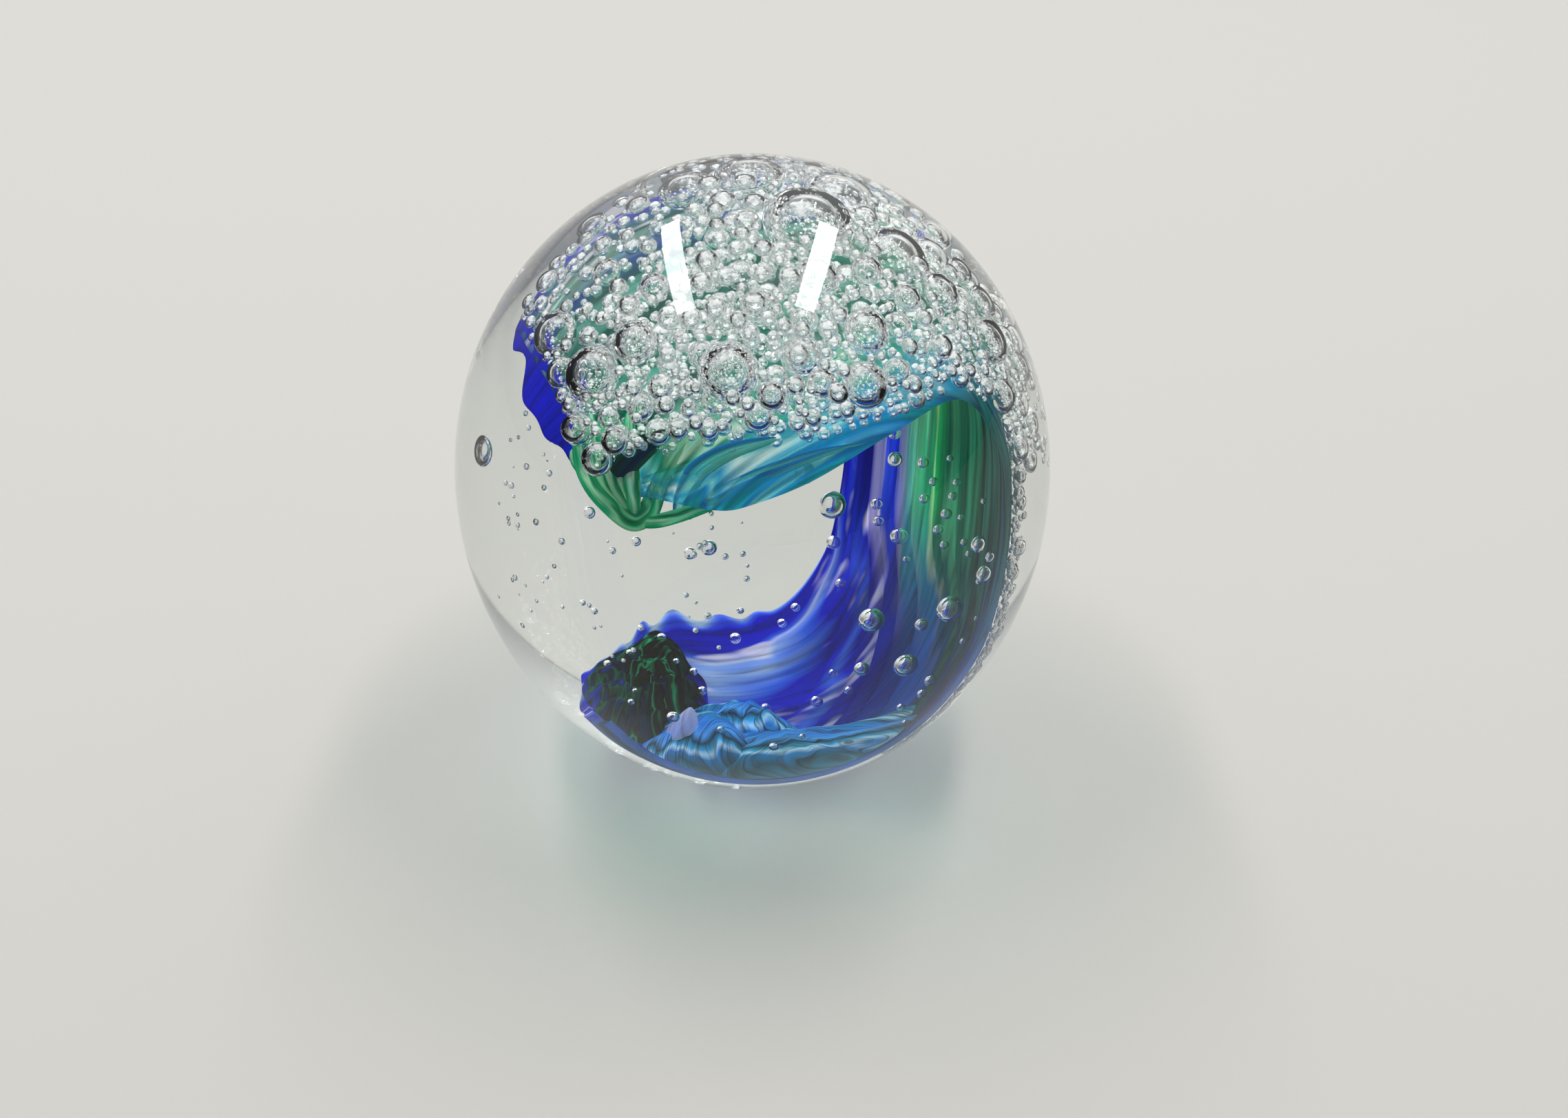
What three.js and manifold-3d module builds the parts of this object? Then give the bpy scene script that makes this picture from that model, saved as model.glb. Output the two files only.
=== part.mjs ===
// Glass wave paperweight.
//
// An egg of solid clear glass with a breaking wave inside it. The wave is one curved sheet made
// of coloured glass ribbons that lie side by side. A bank of bubbly glass, the foam, lies on its
// crest, a dark sea bed and a turquoise swirl lie in its trough, and clear glass fills the rest:
// a first gather inside the wave and around it, and a last gather, the casing, over everything.
// On the real object the pieces are fused hot. Here a clearance parts each one from the next.
//
// Millimetres, +Z up. The ground foot stands on z = 0 and the axis of the egg is x = y = 0.
// The wave breaks towards -X and its hollow face looks towards -Y.

import * as THREE from 'three';
import { mergeVertices } from 'three/addons/utils/BufferGeometryUtils.js';
import Module from 'manifold-3d';

const wasm = await Module();
wasm.setup();

// Driving sizes of the egg
const bodyRadius = 38;
const bodyHalfHeight = 41.7;
const groundOff = 3.9; // how much of the round bottom the wheel grinds away
const topHeaviness = 0.02; // share by which the egg is fuller above its middle
const footArris = 0.5; // small bevel round the ground foot
const sideWall = 4.5; // last gather, at the side
const crownWall = 4.5; // last gather, at the top
const floorWall = 3.2; // last gather, under the first one
const puntyRadius = 9; // neck that held the piece, seen as a ring in the ground foot
const clearance = 0.3;
const sheetClearance = 0.5; // the pocket of the sheet has wider facets, so it stands further off
const crownCover = 1.0; // first gather left over the foam
const crownBubbleRadius = 2; // the bubble that rose through that cover
const crownBubblePlace = [0.8, 0.45]; // where it left the sheet: station, and share across

// Driving sizes of the wave
const sheetThickness = 1.4;
const foamHeight = 13;
const foamEdge = 1.6; // thickness where the foam thins out
const trailHeight = 2.2;
const fringeLength = 1.6;
const fringeTongue = 2.4; // how much further its tongues reach
const fringeThinning = 0.4; // share of the sheet's thickness left at the tongues' ends
const seaBedHeight = 3.8;
const swirlHeight = 5;
const thinEdge = 0.6; // thickness of the sea bed and the swirl at their borders
const peakHeight = 1.6; // torn points along the far edge of the trough
const lipRounding = 0.12; // share of the width that the near corner of the lip is rounded off by
const trailBubble = 1.1; // radius
const smallBubble = 1.7; // radius
const largeBubble = 3.9; // radius

// Facets
const eggSides = 32;
const eggRings = 14;
const gatherSides = 26;
const gatherRings = 12;
const troughRows = 14; // rows of the sheet in the trough
const wallRows = 16; // and up the wall to the lip
const tornRows = 28; // rows of the far edge's own ribbon in the trough, where it is torn

// Heights and radii that follow from the driving sizes
const bodyMiddle = bodyHalfHeight - groundOff;
const bodyTop = bodyMiddle + bodyHalfHeight;
const gatherTop = bodyTop - crownWall;
const gatherMiddle = (gatherTop + floorWall) / 2;
const gatherHalfHeight = (gatherTop - floorWall) / 2;
const gatherRadius = bodyRadius - sideWall;

// Solids and booleans

/** A closed solid from points [x, y, z] and triangles of point numbers. */
function solidOf(points, triangles) {
  return new wasm.Manifold(new wasm.Mesh({
    numProp: 3,
    vertProperties: new Float32Array(points.flat()),
    triVerts: new Uint32Array(triangles.flat()),
  }));
}

/** A closed solid from one of three's geometries: seams welded, empty triangles at poles left out. */
function solidFrom(geometry) {
  const bare = geometry.clone();
  bare.deleteAttribute('normal');
  bare.deleteAttribute('uv');
  const welded = mergeVertices(bare, 1e-4);
  const place = welded.getAttribute('position');
  const points = [];
  for (let i = 0; i < place.count; i += 1) {
    points.push([place.getX(i), place.getY(i), place.getZ(i)]);
  }
  const order = welded.index ? [...welded.index.array] : points.map((_, i) => i);
  const triangles = [];
  for (let i = 0; i < order.length; i += 3) {
    const [a, b, c] = order.slice(i, i + 3);
    if (a !== b && b !== c && c !== a) triangles.push([a, b, c]);
  }
  return solidOf(points, triangles);
}

/** The solid as a geometry for a mesh, with flat facets. */
function geometryOf(solid) {
  const mesh = solid.getMesh();
  const geometry = new THREE.BufferGeometry();
  const place = new Float32Array(mesh.numVert * 3);
  for (let i = 0; i < mesh.numVert; i += 1) {
    for (let k = 0; k < 3; k += 1) {
      place[i * 3 + k] = mesh.vertProperties[i * mesh.numProp + k];
    }
  }
  geometry.setAttribute('position', new THREE.BufferAttribute(place, 3));
  geometry.setIndex([...mesh.triVerts]);
  geometry.computeVertexNormals();
  return geometry;
}

/** A solid of revolution about Z from a profile of [radius, height] that ends on the axis. */
function revolve(profile, sides) {
  const lathe = new THREE.LatheGeometry(profile.map(([r, z]) => new THREE.Vector2(r, z)), sides);
  lathe.rotateX(Math.PI / 2);
  return solidFrom(lathe);
}

// The egg and the gather

/** Profile of the egg from its ground foot to its top: an ellipse, fuller above the middle. */
function eggProfile() {
  const cut = Math.asin(-bodyMiddle / bodyHalfHeight);
  const profile = [];
  for (let i = 0; i <= eggRings; i += 1) {
    const a = cut + (Math.PI / 2 - cut) * (i / eggRings);
    const radius = bodyRadius * Math.cos(a) * (1 + topHeaviness * Math.sin(a));
    profile.push([i === eggRings ? 0 : radius, bodyMiddle + bodyHalfHeight * Math.sin(a)]);
  }
  const footRadius = profile[0][0];
  profile[0] = [footRadius, footArris];
  return [[0, 0], [footRadius - footArris, 0], ...profile];
}

/** The first gather's own egg, drawn in on all sides by a gap. */
function gatherSolid(gap) {
  const profile = [];
  for (let i = 0; i <= gatherRings; i += 1) {
    const a = Math.PI * (i / gatherRings - 0.5);
    const onAxis = i === 0 || i === gatherRings;
    const radius = (gatherRadius - gap) * Math.cos(a) * (1 + topHeaviness * Math.sin(a));
    profile.push([onAxis ? 0 : radius, gatherMiddle + (gatherHalfHeight - gap) * Math.sin(a)]);
  }
  return revolve(profile, gatherSides);
}

/** The neck from inside the first gather down to the ground foot. */
function puntyNeck(radius, foot) {
  const head = floorWall + puntyRadius / 2;
  return revolve([[0, foot], [radius, foot], [radius, head], [0, head]], gatherSides);
}

// Guides of the wave
//
// The two long edges of the sheet, from the trough, up the wall of the wave, over the crest and
// down to the lip. Each point is in hundredths of the gather's radius from its axis, and of its
// half height from its middle.

const farEdgePoints = [
  [-35, 17, -62], [-27, 22, -58], [-18, 27, -52], [-5, 30, -53], [6, 33, -50],
  [15, 36, -39], [19, 36, -25], [21, 39, -11], [22, 45, 11], [15, 51, 33],
  [-3, 49, 50], [-27, 39, 57], [-51, 24, 55], [-70, 3, 46],
];
const nearEdgePoints = [
  [-43, -43, -59], [-30, -46, -71], [-7, -47, -80], [21, -46, -79], [47, -45, -68],
  [67, -42, -45], [73, -33, -23], [76, -27, 0], [75, -24, 21], [64, -31, 42],
  [42, -48, 40], [15, -60, 30], [-12, -63, 22], [-37, -55, 14],
];
// How far the sheet bellies out between its edges, at the same stations, in the same hundredths.
const bellyPoints = [5, 9, 11, 11, 10, 8.5, 6.5, 6.5, 8, 12, 15, 15, 13.5, 9];

/** A smooth curve through guide points given in hundredths of the gather. */
function guide(points) {
  const places = points.map(([x, y, z]) => new THREE.Vector3(
    (x / 100) * gatherRadius,
    (y / 100) * gatherRadius,
    gatherMiddle + (z / 100) * gatherHalfHeight,
  ));
  return new THREE.CatmullRomCurve3(places, false, 'catmullrom', 0.5);
}

const farEdge = guide(farEdgePoints);
const nearEdge = guide(nearEdgePoints);
const belly = new THREE.CatmullRomCurve3(
  bellyPoints.map((b) => new THREE.Vector3((b / 100) * gatherRadius, 0, 0)),
  false, 'catmullrom', 0.5,
);

/** A guide's point at u and its run there, in millimetres a unit of u. Past an end it goes straight. */
function follow(curve, u) {
  const inside = THREE.MathUtils.clamp(u, 0, 1);
  const before = Math.max(inside - 1e-3, 0);
  const after = Math.min(inside + 1e-3, 1);
  const run = curve.getPoint(after).sub(curve.getPoint(before)).divideScalar(after - before);
  const place = curve.getPoint(inside).addScaledVector(run, u - inside);
  return { place, run };
}

/** Middle surface of the sheet: u runs along the wave, v from the far edge (0) to the near one (1). */
function wavePoint(u, v) {
  const far = follow(farEdge, u);
  const near = follow(nearEdge, u);
  const across = near.place.clone().sub(far.place);
  const outward = far.run.clone().add(near.run).cross(across).normalize();
  const bulge = follow(belly, u).place.x * 4 * v * (1 - v);
  return far.place.addScaledVector(across, v).addScaledVector(outward, bulge);
}

/** Millimetres along the middle of the sheet for one unit of u. */
function waveSpeed(u) {
  return follow(farEdge, u).run.add(follow(nearEdge, u).run).length() / 2;
}

/** Directions at a point of the sheet: along the wave, across it, and out of its round side. */
function waveFrame(u, v) {
  const step = 1e-3;
  const along = wavePoint(u + step, v).sub(wavePoint(u - step, v)).normalize();
  const across = wavePoint(u, v + step).sub(wavePoint(u, v - step)).normalize();
  const out = along.clone().cross(across).normalize();
  return { along, across, out };
}

/** Width of the sheet at a station, between its edges. */
function waveWidth(u) {
  return wavePoint(u, 0).distanceTo(wavePoint(u, 1));
}

/** A closed solid from rings of points, one ring a row, the same count in each, ends capped. */
function loft(rings) {
  const count = rings[0].length;
  const half = count / 2;
  const triangles = [];
  for (let i = 0; i + 1 < rings.length; i += 1) {
    for (let k = 0; k < count; k += 1) {
      const next = (k + 1) % count;
      const [a, b] = [i * count + k, (i + 1) * count + k];
      const [c, d] = [(i + 1) * count + next, i * count + next];
      triangles.push([a, b, c], [a, c, d]);
    }
  }
  const last = (rings.length - 1) * count;
  for (let j = 0; j + 1 < half; j += 1) {
    const [a, b] = [j, j + 1];
    const [c, d] = [count - 2 - j, count - 1 - j];
    triangles.push([a, b, c], [a, c, d]);
    triangles.push([last + a, last + c, last + b], [last + a, last + d, last + c]);
  }
  return solidOf(rings.flat().map((p) => p.toArray()), triangles);
}

/** A closed solid from rings of points, drawn together in a point at each end and facing out. */
function pod(rings, start, end) {
  const count = rings[0].length;
  const triangles = [];
  for (let i = 0; i + 1 < rings.length; i += 1) {
    for (let k = 0; k < count; k += 1) {
      const next = (k + 1) % count;
      const [a, b] = [i * count + k, (i + 1) * count + k];
      const [c, d] = [(i + 1) * count + next, i * count + next];
      triangles.push([a, c, b], [a, d, c]);
    }
  }
  const foot = rings.length * count;
  const last = (rings.length - 1) * count;
  for (let k = 0; k < count; k += 1) {
    const next = (k + 1) % count;
    triangles.push([foot, next, k], [foot + 1, last + k, last + next]);
  }
  const points = [...rings.flat(), start, end].map((p) => p.toArray());
  const solid = solidOf(points, triangles);
  return solid.volume() > 0 ? solid : solidOf(points, triangles.map(([a, b, c]) => [a, c, b]));
}

/** Evenly spaced numbers from one to another, both included. */
function evenly(from, to, count) {
  return Array.from({ length: count + 1 }, (_, i) => from + ((to - from) * i) / count);
}

/**
 * A closed band that follows the sheet. It has a ring at each station, between the edges lo(u)
 * and hi(u), and its two skins lie at the heights under(t, s) and over(t, s) above the sheet's
 * middle, where t and s are the shares along and across the band. grow widens it on all sides,
 * and by twice as much at its ends, which run askew. The pocket that holds a band is made so.
 */
function band({ stations, lo, hi, under, over, columns }, grow = 0) {
  const [from, to] = [stations[0], stations[stations.length - 1]];
  const rings = stations.map((station) => {
    const t = (station - from) / (to - from);
    const u = station + ((2 * t - 1) * 2 * grow) / waveSpeed(station);
    const side = grow / waveWidth(u);
    const upper = [];
    const lower = [];
    evenly(0, 1, columns).forEach((s) => {
      const v = lo(u) - side + (hi(u) - lo(u) + 2 * side) * s;
      const base = wavePoint(u, v);
      const { out } = waveFrame(u, v);
      upper.push(base.clone().addScaledVector(out, over(t, s) + grow));
      lower.push(base.clone().addScaledVector(out, under(t, s) - grow));
    });
    return [...upper, ...lower.reverse()];
  });
  return loft(rings);
}

// The sheet of ribbons
//
// Each ribbon ends at a share of the sheet's width, counted from the far edge. In the trough the
// blue ones spread until they fill most of the sheet. Up the wall they are drawn together.

const halfSheet = sheetThickness / 2;
const troughSpread = 0.3; // power of a share in the trough. On the wall it is one
const ribbons = [
  ['ribbon_cobalt_edge', 0.05, '#0a17b8'],
  ['ribbon_mid_blue', 0.10, '#2c63d8'],
  ['ribbon_cobalt', 0.14, '#0b22c6'],
  ['ribbon_opal', 0.18, '#cfcbe0'],
  ['ribbon_sky_blue', 0.24, '#3f7fe0'],
  ['ribbon_light_green', 0.34, '#5fc08a'],
  ['ribbon_cream', 0.38, '#dfe6b4'],
  ['ribbon_green', 0.46, '#149a5a'],
  ['ribbon_dark_green', 0.62, '#0b5c3c'],
  ['ribbon_bottle_green', 0.84, '#062a26'],
  ['ribbon_turquoise_edge', 1.00, '#1f93b4'],
];

/** Where the edge at a share of the width lies at station u: a power of the share, with a sway. */
function sway(share, u) {
  const power = troughSpread + (1 - troughSpread) * THREE.MathUtils.smoothstep(u, 0.18, 0.5);
  const bent = share ** power;
  return bent + 0.05 * bent * (1 - bent) * Math.sin(2 * Math.PI * (1.5 * u + 2 * share));
}

const troughEnd = 0.3;
const tornPoints = 7;
const sheetStations = [
  ...evenly(0, troughEnd, troughRows), ...evenly(troughEnd, 1, wallRows).slice(1),
];
const tornStations = [
  ...evenly(0, troughEnd, tornRows), ...evenly(troughEnd, 1, wallRows).slice(1),
];

/** The near edge of the sheet, rounded off at the corner of the lip, where the tip curls round it. */
function nearBorder(u) {
  return 1 - lipRounding * THREE.MathUtils.smoothstep(u, 0.9, 1);
}

/** How far past the far edge its torn points reach. They fade out before the wall of the wave. */
function tornReach(u) {
  const fade = THREE.MathUtils.clamp(1 - u / troughEnd, 0, 1);
  return (Math.sqrt(fade) * peakHeight) / waveWidth(u);
}

/** The torn far edge: sharp points that stand up side by side along the trough. */
function tornEdge(u) {
  const turn = (tornPoints * Math.PI * u) / troughEnd + 0.8 * Math.sin(17 * u);
  return -tornReach(u) * (1 - Math.sqrt(Math.abs(Math.sin(turn))));
}

/** One ribbon between two shares of the width, with half a clearance taken off each side. */
function ribbonSolid(low, high) {
  const gap = (u) => clearance / 2 / waveWidth(u);
  return band({
    stations: low === 0 ? tornStations : sheetStations,
    lo: (u) => (low === 0 ? tornEdge(u) : sway(low, u) + gap(u)),
    hi: (u) => (high === 1 ? nearBorder(u) : sway(high, u) - gap(u)),
    under: () => -halfSheet,
    over: () => halfSheet,
    columns: low === 0 ? 3 : Math.ceil((high - low) / 0.12),
  });
}

/** The whole sheet in one, for the pocket that holds all its ribbons. */
const sheetPocket = band({
  stations: sheetStations,
  lo: (u) => -tornReach(u),
  hi: nearBorder,
  under: () => -halfSheet,
  over: () => halfSheet,
  columns: 6,
}, sheetClearance);

// The foam

/** A rounded mound over a band: 0 round its border, 1 on its back. */
function mound(t, s, blunt) {
  return Math.sin(Math.PI * t) ** blunt * Math.sin(Math.PI * s) ** blunt;
}

const seat = halfSheet + sheetClearance; // where a piece that lies on the sheet starts
const foamStart = 0.6;
const foamEnd = 0.99;
const trailStart = 0.4;

/** Lower border of the foam: it reaches the near edge on the right and draws back to the left. */
function foamBorder(u) {
  return 0.99 - 0.24 * THREE.MathUtils.smoothstep(u, 0.72, 1);
}

/** The bank of foam on the crest, before its bubbles are cut. */
const foamBank = {
  stations: evenly(foamStart, foamEnd, 10),
  lo: () => 0.03,
  hi: foamBorder,
  under: () => 0,
  over: (t, s) => seat + foamEdge + foamHeight * mound(t, s, 0.7),
  columns: 7,
};

/** The thin trail of foam that runs down the round side of the wall. */
const foamTrail = {
  stations: evenly(trailStart, foamStart - clearance / waveSpeed(foamStart), 8),
  lo: (u) => 0.78 - 0.3 * THREE.MathUtils.smoothstep(u, 0.45, foamStart),
  hi: () => 1,
  under: () => 0,
  over: (t, s) => seat + foamEdge / 2 + trailHeight * mound(t, s, 0.6),
  columns: 4,
};

const foamCover = 2 * clearance + crownCover; // from the casing down to the foam's skin

/** The point itself, or where it lies beyond the foam's skin under its cover, the nearest there. */
function underCover(point) {
  const centre = new THREE.Vector3(0, 0, gatherMiddle);
  const reach = point.clone().sub(centre);
  const wide = gatherRadius - foamCover;
  const full = Math.hypot(reach.x / wide, reach.y / wide, reach.z / (gatherHalfHeight - foamCover));
  return centre.addScaledVector(reach, 1 / Math.max(full, 1));
}

/** Round bubbles set in rows on the skin of a bank of foam, which opens them. */
function bubblesOn(form, rows, columns, radius) {
  const { stations, lo, hi, over } = form;
  const [from, to] = [stations[0], stations[stations.length - 1]];
  const all = [];
  for (let i = 0; i < rows; i += 1) {
    for (let j = 0; j < columns; j += 1) {
      const turn = i * 7 + j * 3;
      const t = (i + 0.5 + 0.4 * Math.sin(turn)) / rows;
      const s = (j + 0.5 + 0.4 * Math.cos(turn * 1.7)) / columns;
      const u = from + (to - from) * t;
      const v = lo(u) + (hi(u) - lo(u)) * s;
      const skin = wavePoint(u, v).addScaledVector(waveFrame(u, v).out, over(t, s));
      const place = underCover(skin);
      const ball = new THREE.IcosahedronGeometry(radius(t, s, Math.sin(turn * 2.3)), 1);
      ball.translate(place.x, place.y, place.z);
      all.push(solidFrom(ball));
    }
  }
  return all.reduce((sum, ball) => sum.add(ball));
}

/** The crown bubble: it rose from the sheet through the foam's cover, and opens the hollow there. */
function crownBubble() {
  const [u, v] = crownBubblePlace;
  const { along, across, out } = waveFrame(u, v);
  const ring = (height) => evenly(0, 2 * Math.PI, 10).slice(1).map((a) => (
    wavePoint(u, v).addScaledVector(out, height)
      .addScaledVector(along, crownBubbleRadius * Math.cos(a))
      .addScaledVector(across, crownBubbleRadius * Math.sin(a))
  ));
  const beyond = bodyHalfHeight;
  return pod([ring(0), ring(beyond)], wavePoint(u, v),
    wavePoint(u, v).addScaledVector(out, beyond + crownBubbleRadius));
}

// Lumps that lie on the hollow side of the sheet

/**
 * A mound with an uneven oval outline in u and v: middle and reach give the oval, slant turns it.
 * Its skin is a dome over a thin edge, times the lumps(a, r) of an angle and a share of the reach.
 */
function lump({ middle, reach, slant, height, lumps }, grow = 0) {
  const sides = 20;
  const rows = 5;
  const ring = (r, depth) => evenly(0, 2 * Math.PI, sides).slice(1).map((a) => {
    const waver = 1 + 0.1 * Math.sin(3 * a + 5) + 0.06 * Math.sin(7 * a + 10);
    const longer = 2 * grow / waveSpeed(middle[0]);
    const wider = grow / waveWidth(middle[0]);
    const u = middle[0] + (reach[0] * waver + longer) * r * Math.cos(a);
    const v = middle[1] + (reach[1] * waver + wider) * r * Math.sin(a) + slant * (u - middle[0]);
    return wavePoint(u, v).addScaledVector(waveFrame(u, v).out, -depth(a, r));
  });
  const skin = (a, r) => seat + thinEdge + grow + height * (1 - r * r) ** 0.9 * lumps(a, r);
  const out = waveFrame(...middle).out;
  const shares = evenly(0, 1, rows).slice(1).reverse();
  return pod(
    [ring(0.5, () => 0), ring(1, () => 0), ...shares.map((r) => ring(r, skin))],
    wavePoint(...middle),
    wavePoint(...middle).addScaledVector(out, -skin(0, 0)),
  );
}

/** The dark sea bed, a lumpy mass in the left of the trough. */
const seaBed = {
  middle: [0.09, 0.3],
  reach: [0.08, 0.25],
  slant: 1.2,
  height: seaBedHeight,
  lumps: (a, r) => 1 + 0.3 * r * Math.sin(3 * a + 4 * r) + 0.15 * Math.sin(5 * a - 9 * r) * r,
};

/** The turquoise swirl, a small breaker with crinkled ridges in the front of the trough. */
const swirl = {
  middle: [0.19, 0.6],
  reach: [0.11, 0.2],
  slant: 0.5,
  height: swirlHeight,
  lumps: (a, r) => 1 + 0.3 * r * Math.sin(6 * a + 11 * r),
};

// Pieces at the end of the sheet

/** The cobalt fringe: ragged tongues that hang from the left end of the crest. */
function fringe(grow) {
  const rings = [];
  const rows = 28;
  const [lowEnd, highEnd] = [0.02, 0.7];
  for (let i = 0; i <= rows; i += 1) {
    const side = grow / waveWidth(1);
    const v = lowEnd - side + (highEnd - lowEnd + 2 * side) * (i / rows);
    const { along, out } = waveFrame(1, v);
    const tongue = (0.5 + 0.5 * Math.sin(23 * v)) * (0.65 + 0.35 * Math.sin(51 * v + 1));
    const reach = fringeLength + fringeTongue * tongue + grow;
    const root = wavePoint(1, v).addScaledVector(along, clearance - grow);
    const tip = wavePoint(1, v).addScaledVector(along, clearance + reach)
      .addScaledVector(out, -reach / 3);
    const lift = out.clone().multiplyScalar(halfSheet + grow);
    rings.push([
      tip.clone().addScaledVector(lift, fringeThinning), root.clone().add(lift),
      root.clone().sub(lift), tip.clone().addScaledVector(lift, -fringeThinning),
    ]);
  }
  return loft(rings);
}

/**
 * A cane: a thread of glass with an oval section that follows a guide and tapers at both ends.
 * wide is its half width in the plane that faces the front, thick its half thickness square on it.
 */
function cane({ points, wide, thick }, grow) {
  const curve = guide(points);
  const rows = 11;
  const sides = 7;
  const front = new THREE.Vector3(0, 1, 0);
  const rings = evenly(0, 1, rows).map((t) => {
    const { place, run } = follow(curve, t);
    const side = run.normalize().clone().cross(front).normalize();
    const face = side.clone().cross(run);
    const taper = Math.sqrt(Math.sin(Math.PI * (0.05 + 0.9 * t)));
    return evenly(0, 2 * Math.PI, sides).slice(1).map((a) => place.clone()
      .addScaledVector(side, (wide * taper + grow) * Math.cos(a))
      .addScaledVector(face, (thick * taper + grow) * Math.sin(a)));
  });
  const end = (t, way) => {
    const { place, run } = follow(curve, t);
    return place.addScaledVector(run.normalize(), way * (thick / 2 + grow));
  };
  return pod(rings, end(0, -1), end(1, 1));
}

// The canes of the tip, in hundredths of the gather: two hooks one inside the other, and a band
// that crosses them. They touch, so the curl of the lip is one piece.
const hookWidth = 1.3;
const bandWidth = 1.2;
const tipCanes = [
  {
    points: [
      [-56, -43, 44], [-55, -49, 33], [-50, -54, 26], [-43, -59, 17], [-36, -61, 13],
      [-31, -58, 13], [-28, -57, 15], [-27, -56, 19],
    ],
    wide: hookWidth,
    thick: 0.7 * hookWidth,
  },
  {
    points: [
      [-51, -46, 40], [-50, -50, 33], [-47, -54, 26], [-41, -60, 20], [-36, -61, 17],
      [-32, -60, 15], [-28, -58, 15],
    ],
    wide: hookWidth,
    thick: 0.6 * hookWidth,
  },
  {
    points: [[-33, -60, 35], [-36, -60, 31], [-39, -60, 28], [-43, -59, 24], [-47, -56, 20]],
    wide: bandWidth,
    thick: 0.5 * bandWidth,
  },
];

/** The curl at the tip of the lip. */
function crestTip(grow) {
  return tipCanes.map((form) => cane(form, grow)).reduce((sum, form) => sum.add(form));
}

// The assembly

const paperweight = new THREE.Group();

/** Adds one named piece. Clear pieces are see-through, coloured ones are not. */
function place(name, solid, colour, clear = false) {
  const material = new THREE.MeshStandardMaterial({
    color: colour,
    roughness: 0.05,
    metalness: 0,
    transparent: clear,
    opacity: clear ? 0.3 : 1,
  });
  const mesh = new THREE.Mesh(geometryOf(solid), material);
  mesh.name = name;
  paperweight.add(mesh);
}

const gather = gatherSolid(clearance);

ribbons.forEach(([name, high, colour], k) => {
  const low = k === 0 ? 0 : ribbons[k - 1][1];
  place(name, ribbonSolid(low, high), colour);
});

/** Larger bubbles towards the middle of the bank, small ones at its borders. */
const mixed = (t, s, chance) => (
  smallBubble + (largeBubble - smallBubble) * (0.5 + 0.5 * chance) * mound(t, s, 1)
);
/** The piece as it lies in its pocket: clear of the sheet, and under the cover. */
const covered = (form) => form.intersect(gatherSolid(foamCover)).subtract(sheetPocket);
const foam = covered(band(foamBank)).subtract(crestTip(clearance));
place('foam_crest', foam.subtract(bubblesOn(foamBank, 8, 5, mixed)), '#dfe9e6');
place('foam_trail', covered(band(foamTrail)).subtract(bubblesOn(foamTrail, 6, 2, () => trailBubble)),
  '#d5e4e2');

place('crest_tip', covered(crestTip(0)), '#128a4f');
place('left_fringe', covered(fringe(0)), '#1420c8');
place('sea_bed', covered(lump(seaBed)).subtract(lump(swirl, clearance)), '#07211f');
place('sea_swirl', covered(lump(swirl)), '#2a8fc4');

const pockets = [
  band(foamBank, clearance), band(foamTrail, clearance), crestTip(clearance),
  fringe(clearance), lump(seaBed, clearance), lump(swirl, clearance),
].map((pocket) => pocket.intersect(gatherSolid(foamCover - clearance)));
const heart = [sheetPocket, crownBubble(), ...pockets].reduce(
  (glass, pocket) => glass.subtract(pocket),
  gather.add(puntyNeck(puntyRadius, 0)),
);
place('clear_heart', heart, '#dfe8ea', true);

const casing = revolve(eggProfile(), eggSides)
  .subtract(gatherSolid(0))
  .subtract(puntyNeck(puntyRadius + clearance, -1));
place('clear_casing', casing, '#e8eff0', true);

export default paperweight;
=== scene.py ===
# %% [markdown]
# # A glass wave paperweight
#
# The real object is one lump of glass, gathered in layers while hot. Ribbons of coloured glass
# were laid side by side on a first gather, pulled and folded into a breaking wave, and sprinkled
# with a powder that foams, so that a bank of bubbles grew on the crest. A last gather of clear
# glass went over everything, and the foot was ground flat.
#
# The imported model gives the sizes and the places. This lesson puts the finish on it: smooth clear
# glass, streaked ribbons, and foam made of real bubbles that bend the light.

import math

import bpy
import numpy as np
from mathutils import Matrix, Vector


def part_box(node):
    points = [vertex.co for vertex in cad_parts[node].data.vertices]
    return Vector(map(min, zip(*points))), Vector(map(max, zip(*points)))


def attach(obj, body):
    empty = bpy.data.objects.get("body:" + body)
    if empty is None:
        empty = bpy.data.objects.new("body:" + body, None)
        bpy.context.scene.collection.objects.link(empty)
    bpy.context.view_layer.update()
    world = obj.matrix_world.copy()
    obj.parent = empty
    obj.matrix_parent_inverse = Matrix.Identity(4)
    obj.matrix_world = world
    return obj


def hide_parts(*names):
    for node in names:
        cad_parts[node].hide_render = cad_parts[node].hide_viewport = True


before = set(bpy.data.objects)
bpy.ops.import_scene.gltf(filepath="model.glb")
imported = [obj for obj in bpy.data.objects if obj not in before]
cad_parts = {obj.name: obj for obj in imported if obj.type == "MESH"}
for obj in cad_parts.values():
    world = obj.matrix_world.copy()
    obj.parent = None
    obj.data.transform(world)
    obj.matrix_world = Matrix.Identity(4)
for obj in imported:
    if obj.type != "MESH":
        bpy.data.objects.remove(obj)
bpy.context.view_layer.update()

# %% [markdown]
# ## Sizes
#
# Everything is worked out in millimetres and turned into metres only when a mesh is made. The
# egg's height comes from the imported model, and its radius is given here. The other sizes are
# those of the model's source: how much of the bottom is ground away, and how thick the last
# gather is over the first one.

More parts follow.
